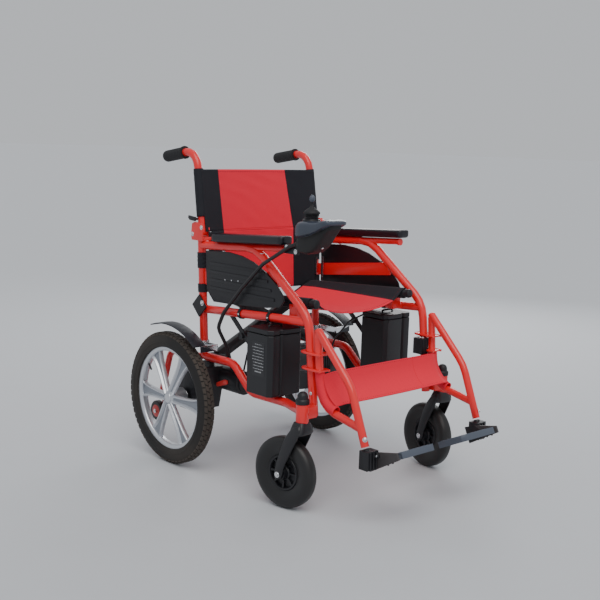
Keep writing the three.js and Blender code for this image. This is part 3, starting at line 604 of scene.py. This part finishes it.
def caster_fork(name, side):
    """Two curved blades under a rounded crown, turned with the caster."""
    stem = Vector((side * CASTER_STEM[0], CASTER_STEM[1], 0))
    turn = Matrix.Rotation(-side * CASTER_TURN, 3, "Z")

    def spot(x, y, z):
        return at(*(stem + turn @ Vector((x, y, z))))

    parts = []
    for edge in (-1, 1):
        sections = []
        for z, y, half, lean in FORK_LINE:
            ring = [(28, -half), (31, -half), (34.2, 3.5 - half), (35.4, 9 - half), (35.4, half - 9),
                (34.2, half - 3.5), (31, half), (28, half)]
            ring = ring if half > 9 else [(x, max(-half, min(half, b))) for x, b in ring]
            ring = ring if edge > 0 else list(reversed(ring))
            sections.append([spot(edge * (abs(x) - lean), y + b, z - 0.35 * b) for x, b in ring])
        parts.append(rings([list(reversed(r)) for r in sections]))
    crown = []
    for z, across_x, along_y in FORK_CROWN:
        crown.append([spot(across_x * squared(math.cos(a), 0.6), along_y * squared(math.sin(a), 0.6) + 1,
            z) for a in angles(36)])
    parts.append(rings([list(reversed(r)) for r in crown]))
    stub = turned_solid([(0, 8), (60, 8)], stem + Vector((0, 0, 245)), (0, 0, 1), 20)
    centre, axle = caster_frame(side)
    pin = turned_solid([(-36, 6), (36, 6)], centre, axle, 16)
    put(name + "_fork_blades", parts + [stub, pin], "black_paint", name + "_caster_fork", "black_paint",
        name + "_caster_fork", crisp=40, bevel=1.6)


def caster_trim(name, side):
    centre, axle = caster_frame(side)
    heads = [bolt(centre + axle * 35.5 * s, axle * s, 5.5, 5) for s in (-1, 1)]
    put(name + "_axle_bolts", heads, "steel", name + "_caster_fork", "black_paint")
    cap = [(-0.4, 18.6), (8, 19), (12, 17.8), (14, 14.8), (22, 14.2), (28, 12), (32, 7), (33.8, 1)]
    put(name + "_stem_cap", [turned_solid(cap, (side * CASTER_STEM[0], CASTER_STEM[1], 300), (0, 0, 1),
        40)], "black_plastic", name + "_caster_fork", "black_paint", crisp=40)


def antitip_hub(name, side):
    disc = [(-11, 1), (-11, 17), (-10, 20), (10, 20), (11, 17), (11, 1)]
    put(name + "_antitip_hub", [turned_solid(disc, (side * FRAME_X, *ANTITIP_AXLE), (1, 0, 0), 32)],
        "red_plastic", name + "_antitip_wheel", "small_tyre")
    head = bolt((side * 243, *ANTITIP_AXLE), (side, 0, 0), 4.5, 3)
    put(name + "_antitip_bolt", [head], "steel", "frame_" + name, "red_paint")


# ---------------------------------------------------------------- upholstery

def grid_faces(columns, rows):
    """Faces over a grid of points, row by row."""
    starts = [j * (columns + 1) + i for j in range(rows) for i in range(columns)]
    return [(a, a + 1, a + columns + 2, a + columns + 1) for a in starts]


def lay_flat(cloth, per_row, columns, rows, width, height):
    """Texture coordinates in metres for cloth made of rows of points."""
    layer = cloth.data.uv_layers.new(name="cloth")
    for loop in cloth.data.loops:
        row, column = divmod(loop.vertex_index, per_row)
        layer.data[loop.index].uv = (column / columns * width, row / rows * height)


def cloth_grid(name, point_at, columns, rows, color_at, size):
    """A cloth sheet over a grid: point_at(u, v) gives its place, color_at(u, v) its material."""
    points = [at(*point_at(i / columns, j / rows)) for j in range(rows + 1) for i in range(columns + 1)]
    looks = ["red_fabric", "black_fabric"]
    cloth = solid(name, points, grid_faces(columns, rows), looks[0], crisp=80)
    cloth.data.materials.append(LOOKS[looks[1]])
    for face in cloth.data.polygons:
        row, column = divmod(face.index, columns)
        face.material_index = looks.index(color_at((column + 0.5) / columns, (row + 0.5) / rows))
    lay_flat(cloth, columns + 1, columns, rows, *size)
    body = cloth.modifiers.new("thickness", "SOLIDIFY")
    body.thickness = CLOTH_THICK / 1000
    body.offset = 0
    return cloth


def stitches(name, path, look, length=5.0, gap=3.0, radius=0.7):
    """A row of short raised stitches along a millimetre path."""
    path = [Vector(p) for p in path]
    parts, carried = [], 0.0
    for a, b in zip(path, path[1:]):
        span = (b - a).length
        position = carried
        while position + length < span:
            start, end = a.lerp(b, position / span), a.lerp(b, (position + length) / span)
            middle = (start + end) / 2
            parts.append(pipe([start, middle, end], [radius * 0.5, radius, radius * 0.5], 6))
            position += length + gap
        carried = max(0.0, position - span)
    return merge(name, parts, look)


def wobble(seed):
    """A smooth random function of two numbers, used for puckers in cloth."""
    rng = random.Random(seed)
    waves = [(rng.uniform(4, 17), rng.uniform(2, 13), rng.uniform(0, 6.28)) for _ in range(6)]
    return lambda u, v: sum(math.sin(p * u + q * v + s) for p, q, s in waves) / 6


def height_curve(knots):
    """A smooth height for any distance from the middle, through (distance, height) knots."""
    line = smooth_path([(x, z, 0) for x, z in knots], 10)

    def height(x):
        x = abs(x)
        for a, b in zip(line, line[1:]):
            if a.x <= x <= b.x:
                return a.y + (b.y - a.y) * (x - a.x) / max(b.x - a.x, 1e-6)
        return line[-1].y if x > line[-1].x else line[0].y

    return height


SEAT_HALF = 188.0
SEAT_FRONT, SEAT_REAR = -486.0, -92.0
SEAT_CLOTH_R = 14.6
# Heights of the sling over the seat tubes' axis: open span, and where it lies on the crossed braces.
OPEN_SPAN = height_curve([(0, -37), (48, -35.5), (92, -30), (141, -17), (165, 0.5), (178, 11.0),
    (184, 14.0), (189.3, 14.54)])
OVER_BRACES = height_curve([(0, -42), (48, -39), (92, -23.5), (141, 0.5), (165, 11.5), (176, 15.0),
    (184, 15.2), (189.3, 14.54)])


def seat_point(u, v):
    """Across the seat from one tube, over the sling, to the other; v runs from back to front."""
    y = SEAT_REAR + (SEAT_FRONT - SEAT_REAR) * v
    wrap, pucker = 0.16, wobble(3)
    if u < wrap or u > 1 - wrap:
        side = -1 if u < wrap else 1
        share = (u if u < wrap else 1 - u) / wrap
        turn = math.radians(-150 + 235 * share)
        x = side * (SEAT_HALF + SEAT_CLOTH_R * math.cos(turn))
        return x, y, seat_z(y) + SEAT_CLOTH_R * math.sin(turn)
    t = (u - wrap) / (1 - 2 * wrap) * 2 - 1
    x = t * (SEAT_HALF + SEAT_CLOTH_R * math.cos(math.radians(85)))
    share = min(1.0, max(0.0, (y + 486) / 331))
    height = OPEN_SPAN(x) * (1 - share) + OVER_BRACES(x) * share
    crease = 1.0 * pucker(2.2 * t, 3 * v) * (1 - t * t) * (1 - share)
    front = 2.5 * max(0.0, v - 0.93) / 0.07
    return x, y, seat_z(y) + height - crease - front * (1 - t * t)


def seat_color(u, v):
    x = seat_point(u, v)[0]
    return "black_fabric" if abs(x) > 141 else "red_fabric"


def build_seat():
    seat = cloth_grid("seat_cloth", seat_point, 120, 70, seat_color, (0.54, 0.394))
    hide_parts("seat_sling")
    trims = []
    for side in (-1, 1):
        seam = [Vector(seat_point(u, v / 40)) + Vector((0, 0, 1.4)) for u in [min((k / 240
            for k in range(40, 201)), key=lambda k: abs(seat_point(k, 0.5)[0] - side * 144))]
            for v in range(1, 40)]
        trims.append(stitches(f"seat_seam_{'left' if side > 0 else 'right'}", seam, "red_thread", 4.0, 2.6,
            0.55))
    fronts = [Vector(seat_point(k / 80, 0.975)) + Vector((0, -0.4, 1.5)) for k in range(14, 67)]
    trims.append(stitches("seat_front_hem", fronts, "red_thread", 4.0, 2.6, 0.55))
    for piece in [seat] + trims:
        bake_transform(piece)
    for name, side in SIDES.items():
        body = "brace_a" if side > 0 else "brace_b"
        plug = [(0, 12.9), (3, 13.2), (8, 12), (11, 8), (12, 1)]
        end = turned_solid(plug, (side * SEAT_HALF, -500, seat_z(-500)), (0, -1, 0.06), 28)
        rear = turned_solid(plug[:3], (side * SEAT_HALF, -72, seat_z(-72)), (0, 1, -0.06), 28)
        put(name + "_seat_tube_plugs", [end, rear], "black_plastic", body, "black_plastic")


RED_RIGHT, RED_LEFT = -147.0, 134.0
HEM_Z, BACK_TOP_Z = 706.0, 888.0
SEAM_U = (0.2, 0.8)


def red_limits(z):
    """Where the red middle of the back starts and ends; above the hem it narrows toward the top."""
    share = max(0.0, (z - HEM_Z) / (BACK_TOP_Z - HEM_Z))
    return RED_RIGHT - 5 * share, RED_LEFT - 18 * share


def across(u, z, half):
    """X for a share of the panel's width, arranged so that the seams fall on whole columns."""
    low, high = red_limits(z)
    a, b = SEAM_U
    if u < a:
        return -half + (low + half) * u / a
    if u > b:
        return high + (half - high) * (u - b) / (1 - b)
    return low + (high - low) * (u - a) / (b - a)


def panel_point(low, high, sag, line_y, half):
    """A panel between posts `half` from the middle, bulging back by `sag`; line_y(z) is their axis."""
    pucker = wobble(11)

    def point_at(u, v):
        z = low + (high - low) * v
        t = across(u, z, half) / half
        hollow = sag * (1 - abs(t) ** 2.3)
        tight = 1.2 * pucker(2 * t, z / 72) * (1 - t * t)
        return t * half, line_y(z) - 14.4 + hollow + tight, z

    return point_at


def banded(u, v):
    """Red between the two seams, black outside them."""
    return "red_fabric" if SEAM_U[0] < u < SEAM_U[1] else "black_fabric"


def narrows(piece, body):
    """Rides on a body, with a mesh of its own."""
    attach(piece, body)
    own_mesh(piece)


def panel(name, point_at, size, bands, body, node):
    cloth = cloth_grid(name, point_at, 110, 36, bands, size)
    narrows(cloth, body)
    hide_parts(node)
    return cloth


def panel_stitches(name, point_at, us, vs, look, body):
    """Stitch rows on a panel: along v at each u in us, and along u at each v in vs."""
    rows = [[Vector(point_at(u, k / 30)) + Vector((0, -1.6, 0)) for k in range(31)] for u in us]
    rows += [[Vector(point_at(k / 60, v)) + Vector((0, -1.6, 0)) for k in range(61)] for v in vs]
    trims = []
    for i, row in enumerate(rows):
        trim = stitches(f"{name}_{i}", row, look, 4.0, 2.8, 0.5)
        narrows(trim, body)
        trims.append(trim)
    return trims


def finish_wrap(cloth, body):
    thick = cloth.modifiers.new("thickness", "SOLIDIFY")
    thick.thickness = 0.0018
    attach(cloth, body)
    return cloth


def sleeve(name, side, foot, top, radius, body):
    """A cloth tube sewn round a post, with its seam and a little slack."""
    axis = Vector(top) - Vector(foot)
    length = axis.length
    rows, sides = 26, 30
    u, v = frame_of(axis)
    wave = wobble(int(length) + side)
    points = []
    for j in range(rows + 1):
        centre = Vector(foot) + axis * (j / rows)
        for k in range(sides + 1):
            a = 2 * math.pi * k / sides
            loose = radius + 0.6 * wave(j / rows * 3, math.sin(a))
            points.append(at(*(centre + (u * math.cos(a) + v * math.sin(a)) * loose)))
    cloth = solid(name, points, grid_faces(sides, rows), "black_fabric", crisp=80)
    lay_flat(cloth, sides + 1, sides, rows, 0.09, length / 1000)
    return finish_wrap(cloth, body)


def build_back():
    half = 224.0
    upper = panel_point(HEM_Z + 1, BACK_TOP_Z, 23, back_y, half)
    cloth = panel("back_cloth", upper, (0.46, 0.18), banded, "back_right", "back_upper_panel")
    beside = [SEAM_U[0] - 0.01, SEAM_U[1] + 0.01]
    trims = panel_stitches("back_seam", upper, beside, [0.965], "thread", "back_right")
    hem = [Vector(upper(k / 60, 0.0)) + Vector((0, -0.4, -0.4)) for k in range(61)]
    for tag, look, part in (("right", "black_fabric", hem[4:13]), ("middle", "red_fabric", hem[12:49]),
            ("left", "black_fabric", hem[48:57])):
        piping = merge(f"back_piping_{tag}", [pipe(part, 1.9, 10)], look)
        narrows(piping, "back_right")
        trims.append(piping)
    lower = panel_point(518, HEM_Z, 23, lambda z: post_y(z) + 1.0, 214.0)
    low_cloth = panel("lumbar_cloth", lower, (0.44, 0.19), banded, "frame_right", "back_lower_panel")
    low_trims = panel_stitches("lumbar_seam", lower, beside, [], "thread", "frame_right")
    for name, side in SIDES.items():
        x_low, x_high = side * (227 - 2.5), side * (227 - 4.6)
        sleeve(name + "_back_sleeve", side, (x_low, back_y(750), 750), (x_high, back_y(889), 889), 14.6,
            "back_" + name)
        for i, (low, high) in enumerate(((600, 646), (528, 553))):
            sleeve(f"{name}_post_strap_{i}", side, (side * FRAME_X, post_y(low), low),
                (side * FRAME_X, post_y(high), high), 14.8, "frame_" + name)


CALF_WRAP_R = 13.4
CALF_RUN = [(-583, 374), (-586, 362), (-590, 348), (-597, 333), (-607, 319), (-620, 307), (-636, 297)]


def calf_point(u, v):
    run = smooth_path([(0, y, z) for y, z in CALF_RUN], 6)
    spot = run[min(len(run) - 1, int(round(v * (len(run) - 1))))]
    t = 2 * u - 1
    slack = 5.0 * (1 - abs(t) ** 2) * math.sin(math.pi * (0.15 + 0.7 * v))
    droop = 4.0 * (1 - t * t) * v
    tucked = min(1.0, max(0.0, (abs(t) - 0.86) / 0.13))
    lift = 1 - 0.8 * tucked * tucked * (3 - 2 * tucked)
    return t * 230, spot.y - 9.5 * lift + slack, spot.z + 6.5 * lift - droop


def build_calf_strap():
    cloth = panel("calf_cloth", calf_point, (0.46, 0.1), lambda u, v: "red_fabric", "frame_right",
        "calf_strap")
    trims = []
    for i, v in enumerate((0.05, 0.95)):
        row = [Vector(calf_point(k / 60, v)) + Vector((0, -1.0, 0.7)) for k in range(3, 58)]
        trims.append(stitches(f"calf_hem_{i}", row, "red_thread", 4.0, 2.8, 0.5))
    joint = [Vector(calf_point(0.755, k / 30)) + Vector((0, -1.0, 0.7)) for k in range(31)]
    trims.append(merge("calf_joint", [pipe(joint, 0.9, 8)], "red_fabric"))
    for trim in trims:
        narrows(trim, "frame_right")
    for name, side in SIDES.items():
        wrap_cloth(name, side)


def wrap_cloth(name, side):
    """The strap's end, wrapped round the hanger tube where it bends forward."""
    path = smooth_path([(0, -571, 380), (0, -575, 355), (0, -583, 330), (0, -597, 306), (0, -617, 291),
        (0, -638, 284)], 5)
    sections, sides, u = [], 26, Vector((1, 0, 0))
    for i, spot in enumerate(path):
        centre = Vector((side * FRAME_X, spot.y, spot.z))
        sections.append(circle(centre, u, heading(path, i).cross(u), CALF_WRAP_R, sides))
    cloth = solid(name + "_calf_wrap", *rings(sections, closed_ends=False), "red_fabric", crisp=80)
    lay_flat(cloth, sides, sides, len(sections), 0.084, 0.12)
    finish_wrap(cloth, "frame_" + name)


# ---------------------------------------------------------------- arm pads, grips, batteries, controller

def rounding(distance, radius):
    """How far a rounded corner of this radius stays inside its square at this distance from the end."""
    gap = radius - min(max(distance, 0.0), radius)
    return radius - math.sqrt(max(radius * radius - gap * gap, 0.0))


def arm_pad(name, side):
    """A soft moulded pad with blunt ends and rounded edges."""
    sections = []
    front, rear = -435.0, -123.0
    stations = [0, 0.6, 2, 4, 7, 11, 16, 40, 90, 150]
    stations += [rear - front - d for d in reversed(stations[:-1])]
    for distance in stations:
        y = front + distance
        inward = min(distance, rear - front - distance)
        half = 23.6 - rounding(inward, 13)
        height = 12.4 - rounding(inward, 7)
        ring = []
        for a in angles(32):
            x, z = half * squared(math.cos(a), 0.45), height * squared(math.sin(a), 0.5)
            ring.append(at(side * (ARM_X + x), y, arm_z(y) + 12.9 + 12.2 + z))
        sections.append(list(reversed(ring)) if side > 0 else ring)
    pad = merge(name + "_arm_cushion", [rings(sections)], "pad_cover", 70)
    place(pad, "frame_" + name, "pad_cover", name + "_arm_pad")
    screws = [bolt((side * 235, y, arm_z(y) - 12.4), (0, 0, -1), 4, 3) for y in (-160, -330)]
    put(name + "_pad_screws", screws, "steel", "frame_" + name, "red_paint")


def grip_axis(side, y):
    return Vector((side * 221, y, 944 - (y + 9) * 25 / 161))


def push_grip(name, side):
    start, end = grip_axis(side, 49), grip_axis(side, 148)
    profile = [(-1, 12), (-1, 18.5), (1, 19.2), (5, 19.2), (7, 17)]
    for k in range(10):
        a = 9 + 8.2 * k
        profile += [(a, 16.3), (a + 1.4, 17.3), (a + 5.2, 17.3), (a + 6.6, 16.3)]
    profile += [(92, 17.2), (96, 16), (99, 12.5), (100.5, 1)]
    put(name + "_hand_grip", [turned_solid(profile, start, end - start, 40)], "grip_rubber", "back_" + name,
        "grip_rubber", name + "_push_grip", crisp=45)


def battery(name, side):
    """A battery case with two rounded pillars on its front face, a lid, a carry loop and a plain label."""
    x0, x1, front, rear, low, high = 167, 287, -434, -334, 286, 474
    outline = [(x0, rear), (x1, rear), (x1, front + 12), (x1 - 12, front), (x1 - 26, front),
        (x1 - 36, front + 2), (x1 - 40, front + 8), (x1 - 44, front + 2), (x1 - 54, front),
        (x0 + 10, front), (x0, front + 10)]

    def slab(bottom, top, shrink=0.0):
        middle = Vector(((x0 + x1) / 2, (front + rear) / 2, 0))
        rows = []
        for z in (bottom, top):
            ring = []
            for x, y in outline:
                p = middle + (Vector((x, y, 0)) - middle) * (1 - shrink)
                ring.append(at(side * p.x, p.y, z))
            rows.append(ring if side > 0 else list(reversed(ring)))
        return rings(rows)

    foot = block((side * FRAME_X - 9, side * FRAME_X + 9), (front + 12, rear - 12), (280, 290))
    put(name + "_battery_case", [slab(low, high - 16), foot], "black_plastic", "frame_" + name,
        "black_plastic", name + "_battery_box", bevel=3.0)
    put(name + "_battery_lid", [slab(high - 15, high - 1)], "black_plastic", "frame_" + name,
        "black_plastic", bevel=3.0)
    loop = smooth_path([(side * 205, -384, 472), (side * 207, -384, 478.5), (side * 227, -384, 480),
        (side * 247, -384, 478.5), (side * 249, -384, 472)], 5)
    put(name + "_battery_loop", [pipe(loop, 3.0, 10)], "black_plastic", "frame_" + name, "black_plastic")
    out = side * (x1 + 0.35)
    film = block(sorted((side * x1, out)), (-410, -358), (340, 436))
    put(name + "_battery_label", [film], "label", "frame_" + name, "black_plastic")
    dashes = []
    for row in range(10):
        z, heavy = 428 - 8.6 * row, row == 9
        edge = 9 if row in (0, 9) else 0
        y = -406 + edge
        while y < -363 - edge:
            reach = random.uniform(2.5, 4.0) if heavy else random.uniform(1.2, 4.6)
            tall = 3.4 if heavy else random.uniform(1.2, 2.2)
            dashes.append(block(sorted((out, out + side * 0.3)), (y, y + reach), (z, z + tall)))
            y += reach + random.uniform(1.4, 2.6)
    put(name + "_label_print", dashes, "print", "frame_" + name, "black_plastic")
    screws = [bolt((side * x, front + 0.5, z), (0, -1, 0), 3, 2) for x,
        z in ((x0 + 16, 300), (x0 + 16, 452))]
    put(name + "_case_screws", screws, "black_paint", "frame_" + name, "black_plastic")


def squircle(centre_x, half, y, low, high, square=0.5):
    """A boxy ring across the controller at y."""
    middle, reach = (low + high) / 2, (high - low) / 2
    return [at(centre_x + half * squared(math.cos(a), square), y, middle + reach * squared(math.sin(a),
        square)) for a in angles(36)]


def controller():
    x = STICK[0]
    hood = [(-499, 18, 738, 752), (-501.5, 27, 733, 760), (-506, 33, 730, 768), (-514, 36.5, 730, 774),
        (-530, 38, 732, 777), (-548, 38, 736.5, 777.4), (-572, 38, 743.5, 777.8), (-590, 38.5, 751, 780.2),
        (-604, 39, 758, 783.6), (-616, 38.5, 764.5, 785), (-625, 36.5, 769.5, 784),
        (-631, 31, 772.5, 781.5), (-634, 22, 775, 779)]
    # The hood's lighter bluish colour is a painted reflection on black plastic.
    put("controller_hood", [rings([squircle(x, w, y, lo, hi) for y, w, lo, hi in hood])], "hood_plastic_painted_sheen",
        "frame_right", "glossy_plastic", "controller_box", crisp=60)
    well = [(-501, 20, 702, 728), (-505, 26, 696, 736), (-516, 28.5, 692, 742), (-540, 29, 690, 750),
        (-560, 29, 696, 759), (-575, 29, 706, 765), (-590, 28.5, 722, 771), (-600, 28, 736, 775),
        (-610, 26.5, 748, 778), (-620, 24, 757, 779), (-627, 18, 764, 779)]
    # The body's extra-dark colour is painted shade under the hood.
    put("controller_body", [rings([squircle(x, w, y, lo, hi, 0.42) for y, w, lo, hi in well])],
        "body_plastic", "frame_right", "black_plastic", crisp=60)
    arm = pipe(smooth_path([(-230, -414, arm_z(-414) + 1.8), (-232, -440, 693.4), (-238, -520, 702)], 6), 7,
        18)
    collar = turned_solid([(0, 9), (0, 12), (12, 12), (12, 9)], (-235.5, -446, 694.4), (-0.03, -1, 0.07), 28)
    cheek = block((-252, -246), (-498, -442), (684, 708))
    put("controller_arm", [arm, collar, cheek], "black_plastic", "frame_right", "black_paint", bevel=1.0)
    bolts = [bolt((-252, y, z), (-1, 0, 0), 4.4, 3.2) for y, z in ((-452, 701), (-488, 692))]
    bolts.append(bolt((-240, -578, 709), (0, -0.72, -0.69), 3.0, 2.0))
    put("controller_bolts", bolts, "steel", "frame_right", "black_plastic")
    ring = [(-2, 25), (1, 25.2), (3.2, 24), (4.2, 21.5), (4.6, 18.2), (6.2, 17.6), (7.6, 18.8), (9.2, 19),
        (10.4, 17.6), (10.4, 16.2), (-2, 16.2)]
    collar_ring = turned_solid(ring, (x, STICK[1], 776.6), (0, 0, 1), 48, closed=True)
    put("stick_collar", [collar_ring], "black_plastic", "frame_right", "black_plastic")
    seam = [(-512, 729), (-560, 738), (-600, 754.5), (-612, 760.5)]
    for tag, s in (("a", -1), ("b", 1)):
        line = smooth_path([(x + s * 36.5, y, z + 1.5) for y, z in seam], 6)
        # The lip uses the same darkened colour, painted shade at the hood's lower edge.
        put("hood_lip_" + tag, [pipe(line, 1.1, 8)], "body_plastic", "frame_right", "black_plastic")


def joystick():
    boot = [(4, 10), (12, 11.5), (15, 13.5), (16.5, 17.6), (18.6, 18.4), (20.6, 17.2), (21.4, 14.8),
        (22.6, 14.8), (23.4, 21), (25.2, 21.8), (28.4, 21.2), (31, 18.4), (34.5, 14.6), (37.4, 10.2),
        (39.6, 7.2), (42, 4.6), (46, 3.6), (54, 3.6), (56, 5.2), (59, 6.8), (63, 7.2), (67, 6.4),
        (70.4, 4.2), (72, 0.8)]
    x, y, z = STICK
    put("joystick_boot", [turned_solid(boot, (x, y, z), (0, 0, 1), 44)], "grip_rubber", "control_stick",
        "grip_rubber", "control_stick", crisp=50)
    knob = [(54, 4.2), (56, 5.8), (59, 7.2), (63, 7.6), (67, 6.8), (70.6, 4.4), (72.2, 0.8)]
    put("joystick_knob", [turned_solid(knob, (x, y, z), (0, 0, 1), 32)], "grey_plate", "control_stick",
        "grip_rubber", crisp=50)


# ---------------------------------------------------------------- small hardware

def band(foot, direction, radius, length):
    """A clamp ring round a tube."""
    return turned_solid([(0, radius - 2.2), (0, radius), (length, radius), (length, radius - 2.2)], foot,
        direction, 30, closed=True)


def hardware(name, side):
    frame = "frame_" + name
    steel, black = [], []

    def outward(group, x, y, z, radius, height):
        group.append(bolt((side * x, y, z), (side, 0, 0), radius, height))

    for y in (-235, -362):
        foot = (side * FRAME_X, y, rail_z(y))
        black.append(band(foot, (0, -1, ARM_SLOPE), 15.4, 11))
        black.append(block(span(side, 221, 237), (y - 10, y - 1), (rail_z(y) + 12, rail_z(y) + 20)))
        outward(steel, 242.5, y - 5.5, rail_z(y), 3.6, 3)
    middle = (side * 242.4, -56, 488)
    quarter = Matrix.Rotation(math.radians(45), 3, "X")
    black.append(block(span(side, 242, 246.5), (-80, -32), (464, 512), quarter, middle))
    outward(steel, 246.6, -72, 498, 5.5, 4.5)
    steel.append(block(span(side, 214.5, 216.8), (-74, -58), (556, 612)))
    steel.append(block(span(side, 214.5, 216.8), (-104, -94), (536, 616)))
    for y, z in ((-6 - 16, 699), (-65, 721)):
        outward(steel, 245.6, y, z, 4.6, 3.5)
    clamp_y = post_y(376)
    steel.append(band((side * FRAME_X, clamp_y, 367), (0, -0.045, 1), 15.6, 17))
    steel.append(block(span(side, 236, 252), (clamp_y - 22, clamp_y - 10), (369, 382)))
    outward(steel, 247.4, -70, 375, 4.5, 3.5)
    outward(black, 252, clamp_y - 16, 375.5, 5, 9)
    steel.append(bolt((side * 235, -752, 236), (side * 0.6, -0.8, 0.1), 4.6, 4))
    outward(steel, 241.2, -551, 318, 3.4, 2.6)
    for y in (-168, -198, -228):
        outward(steel, 236.0, y, 580 - ARM_SLOPE * (y + 198), 1.5, 1.2)
    for y in (-556, -546):
        steel.append(bolt((side * 200, y, 421.2), (0, 0, 1), 3.4, 3))
    put(name + "_bright_hardware", steel, "steel", frame, "red_paint", bevel=0.5)
    put(name + "_black_hardware", black, "black_plastic", frame, "black_plastic", bevel=0.8)


def latch_grooves(name, side):
    ribs = [block(span(side, x - 1.6, x + 1.6), (-568.2, -565.5), (377, 418)) for x in (190, 197, 204, 211)]
    put(name + "_latch_ribs", ribs, "black_plastic", "frame_" + name, "black_plastic", bevel=0.8)


def hanger_caps(name, side):
    top = turned_solid([(0, 11), (2, 11.2), (5, 10), (8, 6), (9, 1)], (side * FRAME_X, -562, 486.5),
        (0, 0.45, 0.9), 24)
    put(name + "_hanger_cap", [top], "red_paint", "frame_" + name, "red_paint", crisp=60)
    rods = []
    for z in (427, 384):
        y = -536 - (470 - z) * 0.084
        line = [(side * 212, y - 46, z), (side * 210, y - 8, z), (side * 214, y + 24, z),
            (side * FRAME_X, y + 30, z), (side * 244, y + 24, z), (side * 248, y - 8, z),
            (side * 246, y - 46, z)]
        rods.append(pipe(smooth_path(line, 5), 3.6, 12))
    put(name + "_hanger_rods", rods, "red_paint", "frame_" + name, "red_paint", crisp=60)


def footplate_trim(name, side):
    """Low ribs on the footplate, and the screws and bright bolt of its bracket, in the plate's plane."""
    turn = Matrix.Rotation(-PLATE_TOES_UP, 3, "X")
    hinge = Vector(PLATE_HINGE)

    def on_plate(x, y, z):
        """x outward from the hinge, y forward along it, z up from it."""
        spot = hinge + turn @ Vector((x, -y, z))
        return Vector((side * spot.x, spot.y, spot.z))

    def slab(x, y, z):
        corners = [at(*on_plate(a, b, c)) for a in x for b in y for c in z]
        return corners, BOX_FACES

    ribs = [slab((-122, -18), (y, y + 5), (8.6, 9.7)) for y in range(14, 100, 11)]
    put(name + "_plate_ribs", ribs, "grey_plate", name + "_footplate", "grey_plate", bevel=0.6)
    down, out = turn @ Vector((0, 0, -1)), Vector((side, 0, 0))
    down.x *= side
    screws = [bolt(on_plate(13, y, -9 - (PLATE_FRONT - y) * 0.07), down, 2.6, 3.5) for y in (68, 86)]
    screws.append(turned_solid([(0, 8.5), (4, 8.5), (5, 7.5), (5, 1)], on_plate(16, 42, 17), out, 24))
    put(name + "_bracket_screws", screws, "black_plastic", "frame_" + name, "black_plastic")
    put(name + "_bracket_bolt", [bolt(on_plate(21, 42, 17), out, 3.6, 3)], "steel", "frame_" + name,
        "black_plastic")


# ---------------------------------------------------------------- camera, light, floor

def camera():
    yaw, pitch, roll = math.radians(44.05), math.radians(11.7), math.radians(1.85)
    ahead = Vector((math.sin(yaw) * math.cos(pitch), math.cos(yaw) * math.cos(pitch), -math.sin(pitch)))
    right = Vector((math.cos(yaw), -math.sin(yaw), 0))
    up = right.cross(ahead)
    tipped_right = right * math.cos(roll) + up * math.sin(roll)
    tipped_up = up * math.cos(roll) - right * math.sin(roll)
    data = bpy.data.cameras.new("camera")
    data.lens, data.sensor_width = 60.09, 36
    data.shift_x, data.shift_y = -0.0482, 0.084
    eye = link("camera", data)
    eye.matrix_world = Matrix((tipped_right, tipped_up, -ahead)).transposed().to_4x4()
    eye.location = at(-2018, -2452, 976)
    bpy.context.scene.camera = eye


def lamp(name, kind, toward, energy, color):
    """A light that shines in the direction toward."""
    data = bpy.data.lights.new(name, kind)
    data.energy, data.color = energy, color
    obj = link(name, data)
    obj.rotation_euler = Vector(toward).to_track_quat("-Z", "Y").to_euler()
    return obj


def studio():
    world = bpy.data.worlds.new("studio")
    world.use_nodes = True
    background = world.node_tree.nodes["Background"].inputs
    background["Color"].default_value = (0.93, 0.96, 1.0, 1)
    background["Strength"].default_value = 0.62
    bpy.context.scene.world = world
    sun = lamp("soft_sun", "SUN", (0.35, 0.55, -1.0), 1.7, (1, 0.97, 0.93))
    sun.data.angle = math.radians(50)
    rim_at = Vector((2.6, 1.8, 1.8))
    rim = lamp("rim", "AREA", Vector((0, 0, 0.5)) - rim_at, 30, (1, 1, 1))
    rim.location, rim.data.size = rim_at, 1.6
    half = 90.0
    floor = solid("studio_floor", [Vector((x, y, -0.0005)) for x in (-half, half) for y in (-half, half)],
        [(0, 2, 3, 1)], "pale_floor")


def record_size():
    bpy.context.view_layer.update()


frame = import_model()
record_size()
paint_cad(frame["nodes"])
repaint_details(frame["nodes"])
for side_name, side_sign in SIDES.items():
    for build in (rear_tyre, rear_rim, caster_wheel, caster_fork, caster_trim, antitip_hub, arm_pad,
            push_grip, battery, hardware, latch_grooves, hanger_caps, footplate_trim):
        build(side_name, side_sign)
build_seat()
build_back()
build_calf_strap()
controller()
joystick()
camera()
studio()
record_size()
